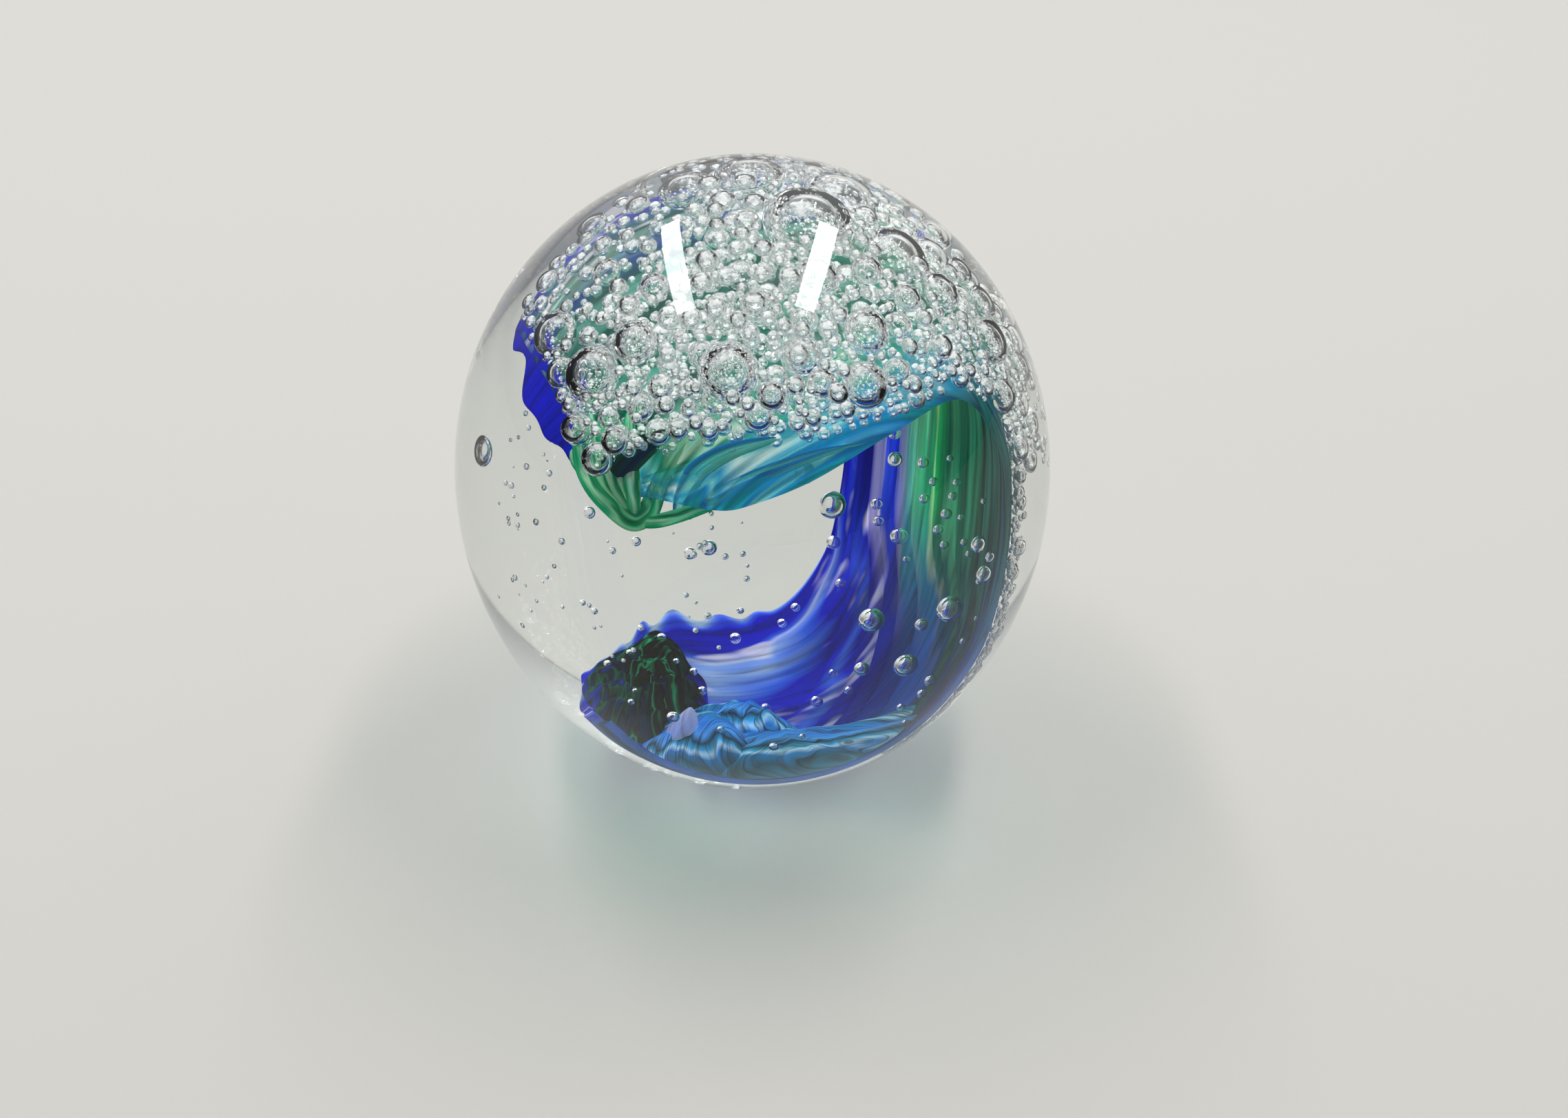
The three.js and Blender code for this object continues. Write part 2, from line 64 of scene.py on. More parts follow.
# %% Sizes of the egg and of the first gather
MM = 0.001
casing_low, casing_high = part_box("clear_casing")
egg_top = casing_high.z / MM
ground_off = 3.9
egg_half_height = (egg_top + ground_off) / 2
egg_middle = egg_half_height - ground_off
egg_radius = 38.0
top_heaviness = 0.02
side_wall = 4.5
crown_wall = 4.5
floor_wall = 3.2
gather_radius = egg_radius - side_wall
gather_top = egg_top - crown_wall
gather_middle = (gather_top + floor_wall) / 2
gather_half_height = (gather_top - floor_wall) / 2
gather_centre = np.array([0.0, 0.0, gather_middle])
gather_reach = np.array([gather_radius, gather_radius, gather_half_height])
print("egg middle and half height", egg_middle, egg_half_height)

# %% [markdown]
# ## Meshes from arrays
#
# A surface of this lesson is a grid of points that numpy works out in one go. The helpers below
# only say which points are joined: a loft joins rings of points, one behind the other, and closes
# both ends. A vector attribute called flow carries, for each point, how many millimetres it lies
# along the pull of the glass, how many across it, and a share that the material can use as it
# likes.


# %% Helpers that turn arrays into meshes
def signed_volume(points, faces):
    """Volume inside a closed mesh: the sum of p0 . (p1 x p2) / 6 over fans of triangles."""
    corners = np.asarray(points)[faces]
    fans = [np.cross(corners[:, i], corners[:, i + 1]) for i in range(1, faces.shape[1] - 1)]
    return sum((corners[:, 0] * fan).sum() for fan in fans) / 6


def make_mesh(name, points, faces, flow=None):
    """A smooth mesh object from points in millimetres, faces as rows of point numbers, and flow."""
    mesh = bpy.data.meshes.new(name)
    faces = np.asarray(faces, np.int32)
    if signed_volume(points, faces) < 0:
        faces = faces[:, ::-1]
    mesh.vertices.add(len(points))
    mesh.vertices.foreach_set("co", (np.asarray(points) * MM).astype(np.float32).ravel())
    mesh.loops.add(faces.size)
    mesh.loops.foreach_set("vertex_index", faces.ravel())
    mesh.polygons.add(len(faces))
    mesh.polygons.foreach_set("loop_start", np.arange(len(faces), dtype=np.int32) * faces.shape[1])
    mesh.update(calc_edges=True)
    mesh.polygons.foreach_set("use_smooth", np.ones(len(faces), bool))
    if flow is not None:
        attribute = mesh.attributes.new("flow", "FLOAT_VECTOR", "POINT")
        attribute.data.foreach_set("vector", np.asarray(flow, np.float32).ravel())
    mesh.validate()
    piece = bpy.data.objects.new(name, mesh)
    bpy.context.scene.collection.objects.link(piece)
    return piece


def loft(name, upper, lower, flow):
    """A closed sheet between two grids of points, which share one flow. Each row of the two makes a
    ring, and at both ends strips join the two skins."""
    rings, flow = (np.concatenate([one, other[:, ::-1]], axis=1)
                   for one, other in ((upper, lower), (flow, flow)))
    rows, count = rings.shape[:2]
    i, k = np.meshgrid(np.arange(rows - 1), np.arange(count), indexing="ij")
    after = (k + 1) % count
    here, next_ring = i * count, (i + 1) * count
    wall = np.stack([here + k, next_ring + k, next_ring + after, here + after], -1)
    j = np.arange(count // 2 - 1)
    cap = np.stack([j, j + 1, count - 2 - j, count - 1 - j], -1)
    faces = np.concatenate([wall.reshape(-1, 4), cap, (rows - 1) * count + cap[:, ::-1]])
    return make_mesh(name, rings.reshape(-1, 3), faces, flow.reshape(-1, 3))


def flow_from(along, across, share):
    """The flow of a grid of points, from three arrays that spread over it."""
    return np.stack(np.broadcast_arrays(along, across, share), -1)


def pod(name, rings, start, end, flow=None):
    """A closed piece from rings of points that are drawn together in a point at each end."""
    rows, sides = rings.shape[:2]
    points = np.concatenate([rings.reshape(-1, 3), [start, end]])
    i, k = np.meshgrid(np.arange(rows - 1), np.arange(sides), indexing="ij")
    after = (k + 1) % sides
    here, next_ring = i * sides, (i + 1) * sides
    wall = np.stack([here + k, here + after, next_ring + after, next_ring + k], -1)
    k = np.arange(0, sides, 2)
    low = np.stack([np.full(len(k), rows * sides), (k + 2) % sides, k + 1, k], -1)
    high = (rows - 1) * sides + np.stack([k, k + 1, (k + 2) % sides, k], -1)
    high[:, 3] = rows * sides + 1
    if flow is not None:
        flow = np.concatenate([flow.reshape(-1, 3), [flow[0].mean(0), flow[-1].mean(0)]])
    return make_mesh(name, points, np.concatenate([wall.reshape(-1, 4), low, high]), flow)


def revolve(name, profile, sides):
    """A closed piece from a profile of radius and height: it starts and ends on the axis."""
    around = np.linspace(0, 2 * np.pi, sides, endpoint=False)
    inner = profile[1:-1]
    rings = np.stack([
        inner[:, :1] * np.cos(around), inner[:, :1] * np.sin(around),
        np.repeat(inner[:, 1:], sides, axis=1),
    ], -1)
    return pod(name, rings, [0, 0, profile[0, 1]], [0, 0, profile[-1, 1]])


# %% [markdown]
# ## Materials
#
# One helper adds a node with its settings and its links, and another turns an sRGB hex colour
# into the linear numbers that Blender works with. The rest are steps that several kinds of glass
# share.


# %% Helpers for materials
def linear(hex_colour):
    """The linear red, green, blue and alpha of an sRGB hex colour such as #1f93b4."""
    parts = np.array([int(hex_colour[i:i + 2], 16) for i in (1, 3, 5)]) / 255
    low = parts / 12.92
    high = ((parts + 0.055) / 1.055) ** 2.4
    return (*np.where(parts <= 0.04045, low, high), 1.0)


def add_node(tree, kind, links=None, **settings):
    """Adds a shader node. Settings set its sockets, or its own values where they start with own,
    and links join other nodes' outputs to it."""
    node = tree.nodes.new("ShaderNode" + kind)
    for name, value in settings.items():
        if name.startswith("own_"):
            setattr(node, name[4:], value)
        else:
            node.inputs[name.replace("_", " ").title()].default_value = value
    for name, output in (links or {}).items():
        tree.links.new(output, node.inputs[name])
    return node


def new_material(name):
    """An empty node material, and its output node."""
    material = bpy.data.materials.new(name)
    material.use_nodes = True
    material.node_tree.nodes.clear()
    output = material.node_tree.nodes.new("ShaderNodeOutputMaterial")
    return material, material.node_tree, output


def fit_in(piece, material, slot, *nodes):
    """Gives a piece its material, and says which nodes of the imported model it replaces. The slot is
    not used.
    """
    piece.data.materials.clear()
    piece.data.materials.append(material)
    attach(piece, "root")
    if nodes:
        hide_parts(*nodes)
    print(piece.name + ":", len(piece.data.polygons), "faces")


def give_colour(tree, socket, colour):
    """Gives a socket a hex colour, or links it to an output."""
    if isinstance(colour, str):
        socket.default_value = linear(colour)
    else:
        tree.links.new(colour, socket)


def colour_ramp(tree, place, stops):
    """A colour ramp from stops: each a position, and its red, green, blue and alpha."""
    node = add_node(tree, "ValToRGB", {"Fac": place})
    elements = node.color_ramp.elements
    while len(elements) < len(stops):
        elements.new(0.5)
    for element, (position, colour) in zip(elements, stops):
        element.position = position
        element.color = colour
    return node


def spots(tree, size, detail, roughness=0.5):
    """Noise in the piece's own coordinates, with spots about size millimetres wide."""
    place = add_node(tree, "TexCoord")
    return add_node(tree, "TexNoise", {"Vector": place.outputs["Object"]},
                    scale=1 / (size * MM), detail=detail, roughness=roughness).outputs["Fac"]


def stretch(tree, value, low, high, to_low, to_high, kind="SMOOTHSTEP"):
    """Turns low into to_low and high into to_high, with an S or a LINEAR rise between them."""
    return add_node(tree, "MapRange", {"Value": value}, own_interpolation_type=kind,
                    from_min=low, from_max=high, to_min=to_low, to_max=to_high).outputs[0]


def times(tree, one, other):
    """The product of two outputs, held between 0 and 1."""
    return add_node(tree, "Math", {0: one, 1: other}, own_operation="MULTIPLY",
                    own_use_clamp=True).outputs[0]


def mix_colours(tree, share, first, second):
    """Turns the first colour into the second as the share goes from 0 to 1."""
    mixed = add_node(tree, "Mix", {0: share}, own_data_type="RGBA")
    give_colour(tree, mixed.inputs[6], first)
    give_colour(tree, mixed.inputs[7], second)
    return mixed.outputs[2]


def blend(tree, share, first, second):
    """A shader that turns from the first to the second as the share goes from 0 to 1."""
    return add_node(tree, "MixShader", {0: share, 1: first, 2: second}).outputs[0]


def milky(tree, colour):
    """A body full of fine specks: half of the light is thrown back, half scatters through it."""
    skin = add_node(tree, "BsdfDiffuse")
    glow = add_node(tree, "BsdfTranslucent")
    for shader in (skin, glow):
        give_colour(tree, shader.inputs["Color"], colour)
    return add_node(tree, "MixShader", {1: skin.outputs[0], 2: glow.outputs[0]}, fac=0.5).outputs[0]


# %% [markdown]
# ## Clear glass
#
# The egg is soda-lime glass, fire polished by its own heat and cooled slowly, with a refractive
# index of 1.5. It needs no colour of its own: what the eye reads as glass is the room, turned
# upside down by the refraction. A Light Path node lets the lamps' shadow rays pass, weakened and
# a little green, so that the piece casts the soft shadow of a clear body and not that of a stone.

# %% Clear glass
glass_index = 1.5


def let_lamps_pass(tree, output, surface, shade):
    """Gives a shader to the output, but lets shadow rays through. They take the shade (a colour or
    an output) only where they enter, on outside faces, so a piece inside glass is lit in full."""
    geometry = add_node(tree, "NewGeometry")
    weaker = mix_colours(tree, geometry.outputs["Backfacing"], shade, "#ffffff")
    passing = add_node(tree, "BsdfTransparent", {"Color": weaker})
    path = add_node(tree, "LightPath")
    whole = blend(tree, path.outputs["Is Shadow Ray"], surface, passing.outputs[0])
    tree.links.new(whole, output.inputs["Surface"])


def clear_glass():
    """Smooth glass whose faint waviness is a noise about 14 mm wide."""
    material, tree, output = new_material("clear_soda_lime_glass")
    ripple = add_node(tree, "Bump", {"Height": spots(tree, 14, 1.0)},
                      strength=0.02, distance=0.4 * MM)
    glass = add_node(tree, "BsdfPrincipled", {"Normal": ripple.outputs["Normal"]},
                     base_color=linear("#eef2f0"), roughness=0.0, transmission_weight=1.0)
    glass.inputs["IOR"].default_value = glass_index
    let_lamps_pass(tree, output, glass.outputs[0], "#5f8a86")
    return material


# %% [markdown]
# ## The egg
#
# The outline is an ellipse turned about its upright axis, a little fuller above its middle. The
# wheel that ground the foot left a flat disc with a small rounded edge. Both clear gathers are
# one glass to the eye, since nothing parts them, so a single smooth body stands for the two
# nodes.

# %% The egg
foot_rounding = 0.5


def egg_outline(count=120, corner=8):
    """Ellipse from the foot to the top, with a quarter turn of small radius at the foot's edge."""
    start = math.asin(-egg_middle / egg_half_height)
    a = start + (math.pi / 2 - start) * np.linspace(0, 1, count) ** 0.9
    radius = egg_radius * np.cos(a) * (1 + top_heaviness * np.sin(a))
    height = egg_middle + egg_half_height * np.sin(a)
    wall = np.stack([radius, height], -1)[1:-1]
    foot_radius = radius[0]
    turn = np.linspace(-np.pi / 2, -0.3, corner)
    edge = np.stack([
        foot_radius - foot_rounding * (1 - np.cos(turn)),
        foot_rounding * (1 + np.sin(turn)),
    ], -1)
    edge = edge[edge[:, 1] < wall[0, 1]]
    return np.concatenate([[[0, 0]], edge, wall[wall[:, 1] > edge[-1, 1]], [[0, egg_top]]])


egg = revolve("clear_glass_egg", egg_outline(), 192)
fit_in(egg, clear_glass(), "clear_glass", "clear_casing", "clear_heart")

# %% [markdown]
# ## The wave as one surface
#
# The sheet of ribbons is a surface between two guides, its far edge and its near edge. Each guide
# is a smooth curve through a few points, given in hundredths of the first gather. At each station
# u the surface runs straight from the far edge (v = 0) to the near edge (v = 1) and bellies
# outwards.

# %% Guides of the wave
far_edge_points = [
    [-36, 17, -60], [-28, 22, -55], [-19, 27, -51], [-6, 30, -52.5], [6, 33, -50],
    [15, 36, -39], [19, 36, -25], [21, 39, -11], [22, 45, 11], [15, 51, 33],
    [-3, 49, 50], [-27, 39, 57], [-51, 24, 55], [-70, 3, 46],
]
near_edge_points = [
    [-43, -43, -59], [-30, -46, -71], [-7, -47, -80], [21, -46, -79], [47, -45, -68],
    [67, -42, -45], [73, -33, -23], [76, -27, 0], [75, -24, 21], [64, -31, 42],
    [42, -48, 40], [15, -60, 30], [-12, -63, 22], [-37, -55, 14],
]
belly_points = [5, 9, 11, 11, 10, 8.5, 6.5, 6.5, 8, 12, 15, 15, 13.5, 9]
slope_step = 1e-3


def unit(vectors):
    """Vectors made one long."""
    return vectors / np.linalg.norm(vectors, axis=-1, keepdims=True)


def curve_through(points, u):
    """A smooth curve through points, evenly timed: each piece is the cubic that leaves a point in
    the direction from the one before it to the one after it. Past its ends it goes straight on."""
    points = np.asarray(points, float)
    spans = len(points) - 1
    padded = np.concatenate([[2 * points[0] - points[1]], points, [2 * points[-1] - points[-2]]])
    inside = np.clip(u, 0, 1)
    place = inside * spans
    i = np.minimum(place.astype(int), spans - 1)
    f = (place - i)[..., None]
    a, b, c, d = padded[i], padded[i + 1], padded[i + 2], padded[i + 3]
    value = (2 * b + (c - a) * f + (2 * a - 5 * b + 4 * c - d) * f ** 2
             + (3 * b - a - 3 * c + d) * f ** 3) / 2
    slope = ((c - a) + 2 * (2 * a - 5 * b + 4 * c - d) * f
             + 3 * (3 * b - a - 3 * c + d) * f ** 2) / 2 * spans
    return value + slope * (u - inside)[..., None]


def wave_point(u, v):
    """Point of the sheet: from the far edge to the near edge, bellied by 4 v (1 - v) x the belly,
    along the direction that stands square on the guides' run and on the line between the edges."""
    u, v = np.broadcast_arrays(np.asarray(u, float), np.asarray(v, float))

    def guide(points, at):
        return gather_centre + curve_through(points, at) / 100 * gather_reach

    far, near = guide(far_edge_points, u), guide(near_edge_points, u)
    after, before = u + slope_step, u - slope_step
    run = (guide(far_edge_points, after) - guide(far_edge_points, before)
           + guide(near_edge_points, after) - guide(near_edge_points, before))
    across = near - far
    outward = unit(np.cross(run, across))
    belly = curve_through(np.array(belly_points)[:, None], u)[..., 0] / 100 * gather_radius
    return far + across * v[..., None] + outward * (belly * 4 * v * (1 - v))[..., None]


def wave_frame(u, v):
    """Directions at a point: along the wave, across it, and out of its round side."""
    along = unit(wave_point(u + slope_step, v) - wave_point(u - slope_step, v))
    across = unit(wave_point(u, v + slope_step) - wave_point(u, v - slope_step))
    return along, across, unit(np.cross(along, across))


def wave_at(u, v, height):
    """A place at a height above the middle of the sheet, on its round side."""
    u, v, height = np.broadcast_arrays(u, v, height)
    return wave_point(u, v) + wave_frame(u, v)[2] * height[..., None]


def room_at(u, v):
    """How far the sheet's middle lies under the gather's skin, along the sheet's own normal: the
    larger root of the quadratic for a straight line that meets an ellipsoid."""
    start = (wave_point(u, v) - gather_centre) / gather_reach
    way = wave_frame(u, v)[2] / gather_reach
    a, b, c = (way ** 2).sum(-1), (start * way).sum(-1), (start ** 2).sum(-1) - 1
    return (-b + np.sqrt(np.maximum(b * b - a * c, 0))) / a


def smoothstep(value, low, high):
    """0 below low, 1 above high, and an S between: 3 x^2 - 2 x^3."""
    x = np.clip((value - low) / (high - low), 0, 1)
    return x * x * (3 - 2 * x)


def sheet_width(u):
    """Straight width of the sheet at station u."""
    return np.linalg.norm(wave_point(u, 1.0) - wave_point(u, 0.0), axis=-1)


middle_line = wave_point(np.linspace(0, 1, 241), 0.5)
wave_length = np.linalg.norm(np.diff(middle_line, axis=0), axis=1).sum()
print("length of the wave along its middle: %.1f mm" % wave_length)

# %% [markdown]
# ## Ribbon glass
#
# Each ribbon is transparent coloured glass with streaks: threads of other tones that were pulled
# out with it until they are a fraction of a millimetre wide and centimetres long. The material
# reads flow: millimetres along the pull, millimetres across it, and the share of the sheet's
# width. A chart says which tone lies at which share, and how much body it has, from clear (0) to
# dense (1). The ramp runs with the root of the share, which leaves more room for the fine stripes
# of blue. There is a chart for the trough, one for the wall and one for the crest, and noise
# squeezed thirty to one makes their borders wander and splits them into threads.
#
# Where the glass has body, light scatters in it; where it has none, light goes straight through
# and takes the tone to the power of the body, as it does in a thinner or thicker layer of one
# glass.


# %% Ribbon glass
def tone_ramp(tree, place, chart):
    """A colour ramp from a chart of share, colour and body, which travels as the ramp's alpha."""
    return colour_ramp(tree, place, [(math.sqrt(share), (*linear(tone)[:3], body))
                                     for share, tone, body in chart])


def pulled_glass(name, charts, turns=((36, 58), (70, 86)), wander=0.035, streak=0.7, pull=38,
                 shine=(0.6, 1.5), milk=0.0):
    """Streaked glass. Each chart gives way to the next between two places in millimetres along.
    Borders wander slowly, once in pull millimetres. Threads are streak millimetres wide, and shine
    tells how dark and bright they get. Milk is how white the few soft milky streaks get, away from
    the torn edge."""
    material, tree, output = new_material(name)
    flow = add_node(tree, "Attribute", own_attribute_name="flow")
    parts = add_node(tree, "SeparateXYZ", {"Vector": flow.outputs["Vector"]})

    def noise(length, width, detail):
        squeezed = add_node(tree, "Mapping", {"Vector": flow.outputs["Vector"]},
                            scale=(1 / length, 1 / width, 0))
        return add_node(tree, "TexNoise", {"Vector": squeezed.outputs["Vector"]},
                        scale=1.0, detail=detail, roughness=0.6).outputs["Fac"]

    bend_width = min(3.4, pull / 2)
    shift = stretch(tree, noise(pull, bend_width, 2.0), 0.25, 0.75, -wander, wander)
    place = add_node(tree, "Math", {0: parts.outputs["Z"], 1: shift}).outputs[0]
    ramps = [tone_ramp(tree, place, chart) for chart in charts]
    tone, body = ramps[0].outputs["Color"], ramps[0].outputs["Alpha"]
    for (low, high), ramp in zip(turns, ramps[1:]):
        share = stretch(tree, parts.outputs["X"], low, high, 0.0, 1.0)
        tone = mix_colours(tree, share, tone, ramp.outputs["Color"])
        body = add_node(tree, "Mix", {0: share, 2: body, 3: ramp.outputs["Alpha"]}).outputs[0]
    if milk:
        away = stretch(tree, parts.outputs["Z"], 0.07, 0.11, 0.0, milk)
        white = times(tree, stretch(tree, noise(12, 1.9, 2.0), 0.55, 0.66, 0.0, 1.0), away)
        tone = mix_colours(tree, white, tone, "#fff4f6")
    thread_length = 0.63 * pull
    threads = noise(thread_length, streak, 3.0)
    bright = stretch(tree, threads, 0.32, 0.68, *shine)
    colour = add_node(tree, "HueSaturation", {"Value": bright, "Color": tone}).outputs[0]
    body = times(tree, body, stretch(tree, threads, 0.3, 0.7, 1.3, 0.8))
    veil = add_node(tree, "Gamma", {"Color": colour, "Gamma": body}).outputs[0]
    tint = add_node(tree, "BsdfTransparent", {"Color": veil}).outputs[0]
    let_lamps_pass(tree, output, blend(tree, body, tint, milky(tree, colour)), veil)
    return material


# %% [markdown]
# ## The ribbons
#
# A ribbon lies between two shares of the sheet's width. In the trough the blue ribbons spread
# until they fill most of the sheet, and up the wall they draw together, because the glass was
# pulled there: a share is raised to a power that grows from the trough to the wall. Each ribbon
# is a thin lens across its width, and it laps a little over its neighbours, as softened glass
# does.

# %% Charts of tones
trough_chart = [
    (0, "#a8ccf6", 0.25), (0.001, "#3a62ea", 0.8), (0.003, "#0a12c8", 0.97),
    (0.011, "#0c18cc", 0.95), (0.015, "#3f78ea", 0.85), (0.018, "#f2f5fc", 0.85),
    (0.0205, "#a8c8f6", 0.8), (0.028, "#3c78ea", 0.85), (0.035, "#0c18c8", 0.95),
    (0.06, "#1026d4", 0.92), (0.075, "#4a86ee", 0.8), (0.09, "#0e22cc", 0.95),
    (0.14, "#0a1cb8", 0.95), (0.2, "#0a3cae", 0.9), (0.33, "#1c6ac8", 0.85), (0.4, "#0a3f86", 0.9),
    (0.47, "#0b6a58", 0.85), (0.55, "#0a1f7a", 0.9), (0.65, "#06403c", 0.9),
    (0.75, "#1238b8", 0.85), (0.86, "#0d6a8c", 0.85), (1, "#1f6ad0", 0.8),
]
wall_chart = [
    (0, "#0412d6", 0.9), (0.03, "#0614d0", 0.9), (0.048, "#4a74e2", 0.7), (0.07, "#0a1ad2", 0.9),
    (0.095, "#0616c4", 0.9), (0.108, "#f6ece8", 0.5), (0.13, "#fff6f0", 0.4),
    (0.142, "#3a64e4", 0.8), (0.18, "#1c40dc", 0.85), (0.2, "#ffeee6", 0.4), (0.22, "#7cdcb4", 0.6),
    (0.25, "#5ed8b0", 0.7), (0.275, "#b8f0d4", 0.5), (0.3, "#4ccca4", 0.7),
    (0.325, "#2cb890", 0.75), (0.345, "#f6f6b8", 0.5), (0.36, "#e8f0a0", 0.55),
    (0.38, "#20b088", 0.75), (0.42, "#0c8c70", 0.85), (0.45, "#86e6bc", 0.5),
    (0.475, "#18a080", 0.8), (0.53, "#0a7c64", 0.85), (0.56, "#5cd0a8", 0.5),
    (0.6, "#065850", 0.85), (0.66, "#3f9c8c", 0.8), (0.7, "#06403c", 0.9), (0.77, "#2a8a80", 0.85),
    (0.81, "#032020", 0.95), (0.87, "#0a4444", 0.85), (0.92, "#1b84a8", 0.85),
    (0.97, "#063c3c", 0.9), (1, "#12807c", 0.85),
]
crest_chart = [
    (0, "#1420c8", 0.9), (0.03, "#0e2cac", 0.85), (0.06, "#2a86ac", 0.55), (0.09, "#085452", 0.85),
    (0.13, "#a0d0c0", 0.45), (0.17, "#0e44a8", 0.8), (0.22, "#0a6458", 0.85),
    (0.27, "#74c4b4", 0.45), (0.33, "#0a5c50", 0.85), (0.4, "#1c8c76", 0.7), (0.47, "#064440", 0.9),
    (0.54, "#64bca8", 0.45), (0.6, "#0e745e", 0.8), (0.66, "#064640", 0.9), (0.72, "#26a088", 0.7),
    (0.77, "#c4e8d0", 0.35), (0.8, "#24ac90", 0.6), (0.84, "#68d4d0", 0.3), (0.87, "#2cb0cc", 0.6),
    (0.9, "#b4ece8", 0.15), (0.93, "#38b0e0", 0.5), (0.955, "#70d8d8", 0.25),
    (0.975, "#2498e0", 0.7), (1, "#20a8b8", 0.6),
]
print("tones in the charts:", len(trough_chart), len(wall_chart), len(crest_chart))

# %% The ribbons
ribbon_plan = [
    ("cobalt_edge", 0.05, "cobalt_glass"), ("mid_blue", 0.10, "blue_glass"),
    ("cobalt", 0.14, "cobalt_glass"), ("opal", 0.18, "opal_glass"),
    ("sky_blue", 0.24, "sky_blue_glass"), ("light_green", 0.34, "light_green_glass"),
    ("cream", 0.38, "cream_glass"), ("green", 0.46, "green_glass"),
    ("dark_green", 0.62, "dark_green_glass"), ("bottle_green", 0.84, "bottle_green_glass"),
    ("turquoise_edge", 1.00, "turquoise_glass"),
]
milky_share = 0.15
sheet_thickness = 1.2
torn_points = 7
trough_end = 0.3
peak_height = 1.1


def share_at(share, u):
    """Where the edge at a share of the width lies at station u: a power of it, with a sway."""
    spread = 0.3 + 0.7 * smoothstep(u, 0.18, 0.5)
    bent = share ** spread
    return bent + 0.05 * bent * (1 - bent) * np.sin(2 * np.pi * (1.5 * u + 2 * share))


def near_border(u):
    """The near edge of the sheet, rounded off at the corner of the lip, where the tip curls."""
    return 1 - 0.12 * smoothstep(u, 0.9, 1.0)


def torn_edge(u):
    """Small rounded points along the far edge of the trough, cos^2, that fade before the wall."""
    fade = np.sqrt(np.clip(1 - u / trough_end, 0, 1)) * (0.25 + 0.75 * smoothstep(u, 0.06, 0.12))
    turn = torn_points * np.pi * u / trough_end + 1.3 * np.sin(17 * u)
    return -fade * peak_height / sheet_width(u) * np.cos(turn) ** 2


def ribbon(name, low, high, columns=14, lap=0.012):
    """Rings across the sheet at close stations: a lens, thickest along the ribbon's middle."""
    u = np.linspace(0, 1, 321)[:, None]
    left = torn_edge(u) if low == 0 else share_at(low, u) - lap
    right = near_border(u) if high == 1 else share_at(high, u) + lap
    s = np.linspace(0, 1, columns + 1)[None, :]
    v = left + (right - left) * s
    lens = sheet_thickness / 2 * (1 - (2 * s - 1) ** 4) + 0.05
    share = low + (high - low) * s
    flow = flow_from(u * wave_length, v * sheet_width(u), np.sqrt(share))
    return loft(name, wave_at(u, v, lens), wave_at(u, v, -lens), flow)


low_share = 0
for name, high_share, slot in ribbon_plan:
    piece = ribbon(name + "_streaks", low_share, high_share)
    milk = 1.0 if high_share < milky_share else 0.0
    glass = pulled_glass(name + "_pulled_glass", (trough_chart, wall_chart, crest_chart), milk=milk)
    fit_in(piece, glass, slot, "ribbon_" + name)
    low_share = high_share

# %% [markdown]
# ## Foam
#
# The white water is a crowd of round air bubbles. A bubble is the opposite of a glass ball: light
# meets it from the glass side, so its index is one over that of the glass, and near its rim the
# light is thrown back completely. That gives each bubble its bright rim and its white glints. The
# foam's bubbles also carry a painted highlight, a patchy white cap on top and underneath, which
# makes the bank white. They are placed by chance but never through each other, largest first, and
# each is a small grid sphere, all joined in a few meshes.

# %% Air in glass, with painted highlights
# The way a painted highlight faces: up, and a little towards the front.
painted_highlight_way = (-0.10, -0.30, 0.95)


def air_in_glass(name, cap=None):
    """A smooth surface between glass and the air in a bubble. A cap may add a painted highlight:
    white, in patches 0.8 mm wide, where the surface faces the highlight's way or straight against
    it. It starts where the surface faces that way by the least share, and has its strength where it
    faces that way in full."""
    material, tree, output = new_material(name)
    air = add_node(tree, "BsdfGlass", color=linear("#ffffff"), roughness=0.0)
    air.inputs["IOR"].default_value = 1 / glass_index
    surface = air.outputs[0]
    # The cap is a painted highlight: white milky glass where the skin faces that way, cut into
    # patches.
    if cap:
        least, full, strength = cap
        geometry = add_node(tree, "NewGeometry")
        highlight_facing = add_node(tree, "VectorMath", {0: geometry.outputs["True Normal"]},
                          own_operation="DOT_PRODUCT")
        highlight_facing.inputs[1].default_value = painted_highlight_way
        height = add_node(tree, "Math", {0: highlight_facing.outputs["Value"]}, own_operation="ABSOLUTE")
        top = stretch(tree, height.outputs[0], least, full, 0.0, strength)
        highlight_patches = stretch(tree, spots(tree, 0.8, 1.0), 0.38, 0.58, 0.15, 1.0, "LINEAR")
        surface = blend(tree, times(tree, top, highlight_patches), surface, milky(tree, "#ffffff"))
    let_lamps_pass(tree, output, surface, "#f6f9f9")
    return material


plain_air = air_in_glass("air_in_clear_glass")
# Painted highlights: small on the large bubbles and the trail, broad on the smallest bubbles.
air_with_small_painted_highlight = air_in_glass("bubble_with_small_painted_highlight", (0.955, 0.985, 0.85))
air_with_broad_painted_highlight = air_in_glass("bubble_with_broad_painted_highlight", (0.68, 0.78, 1.0))
air_with_medium_painted_highlight = air_in_glass("bubble_with_medium_painted_highlight", (0.80, 0.88, 1.0))


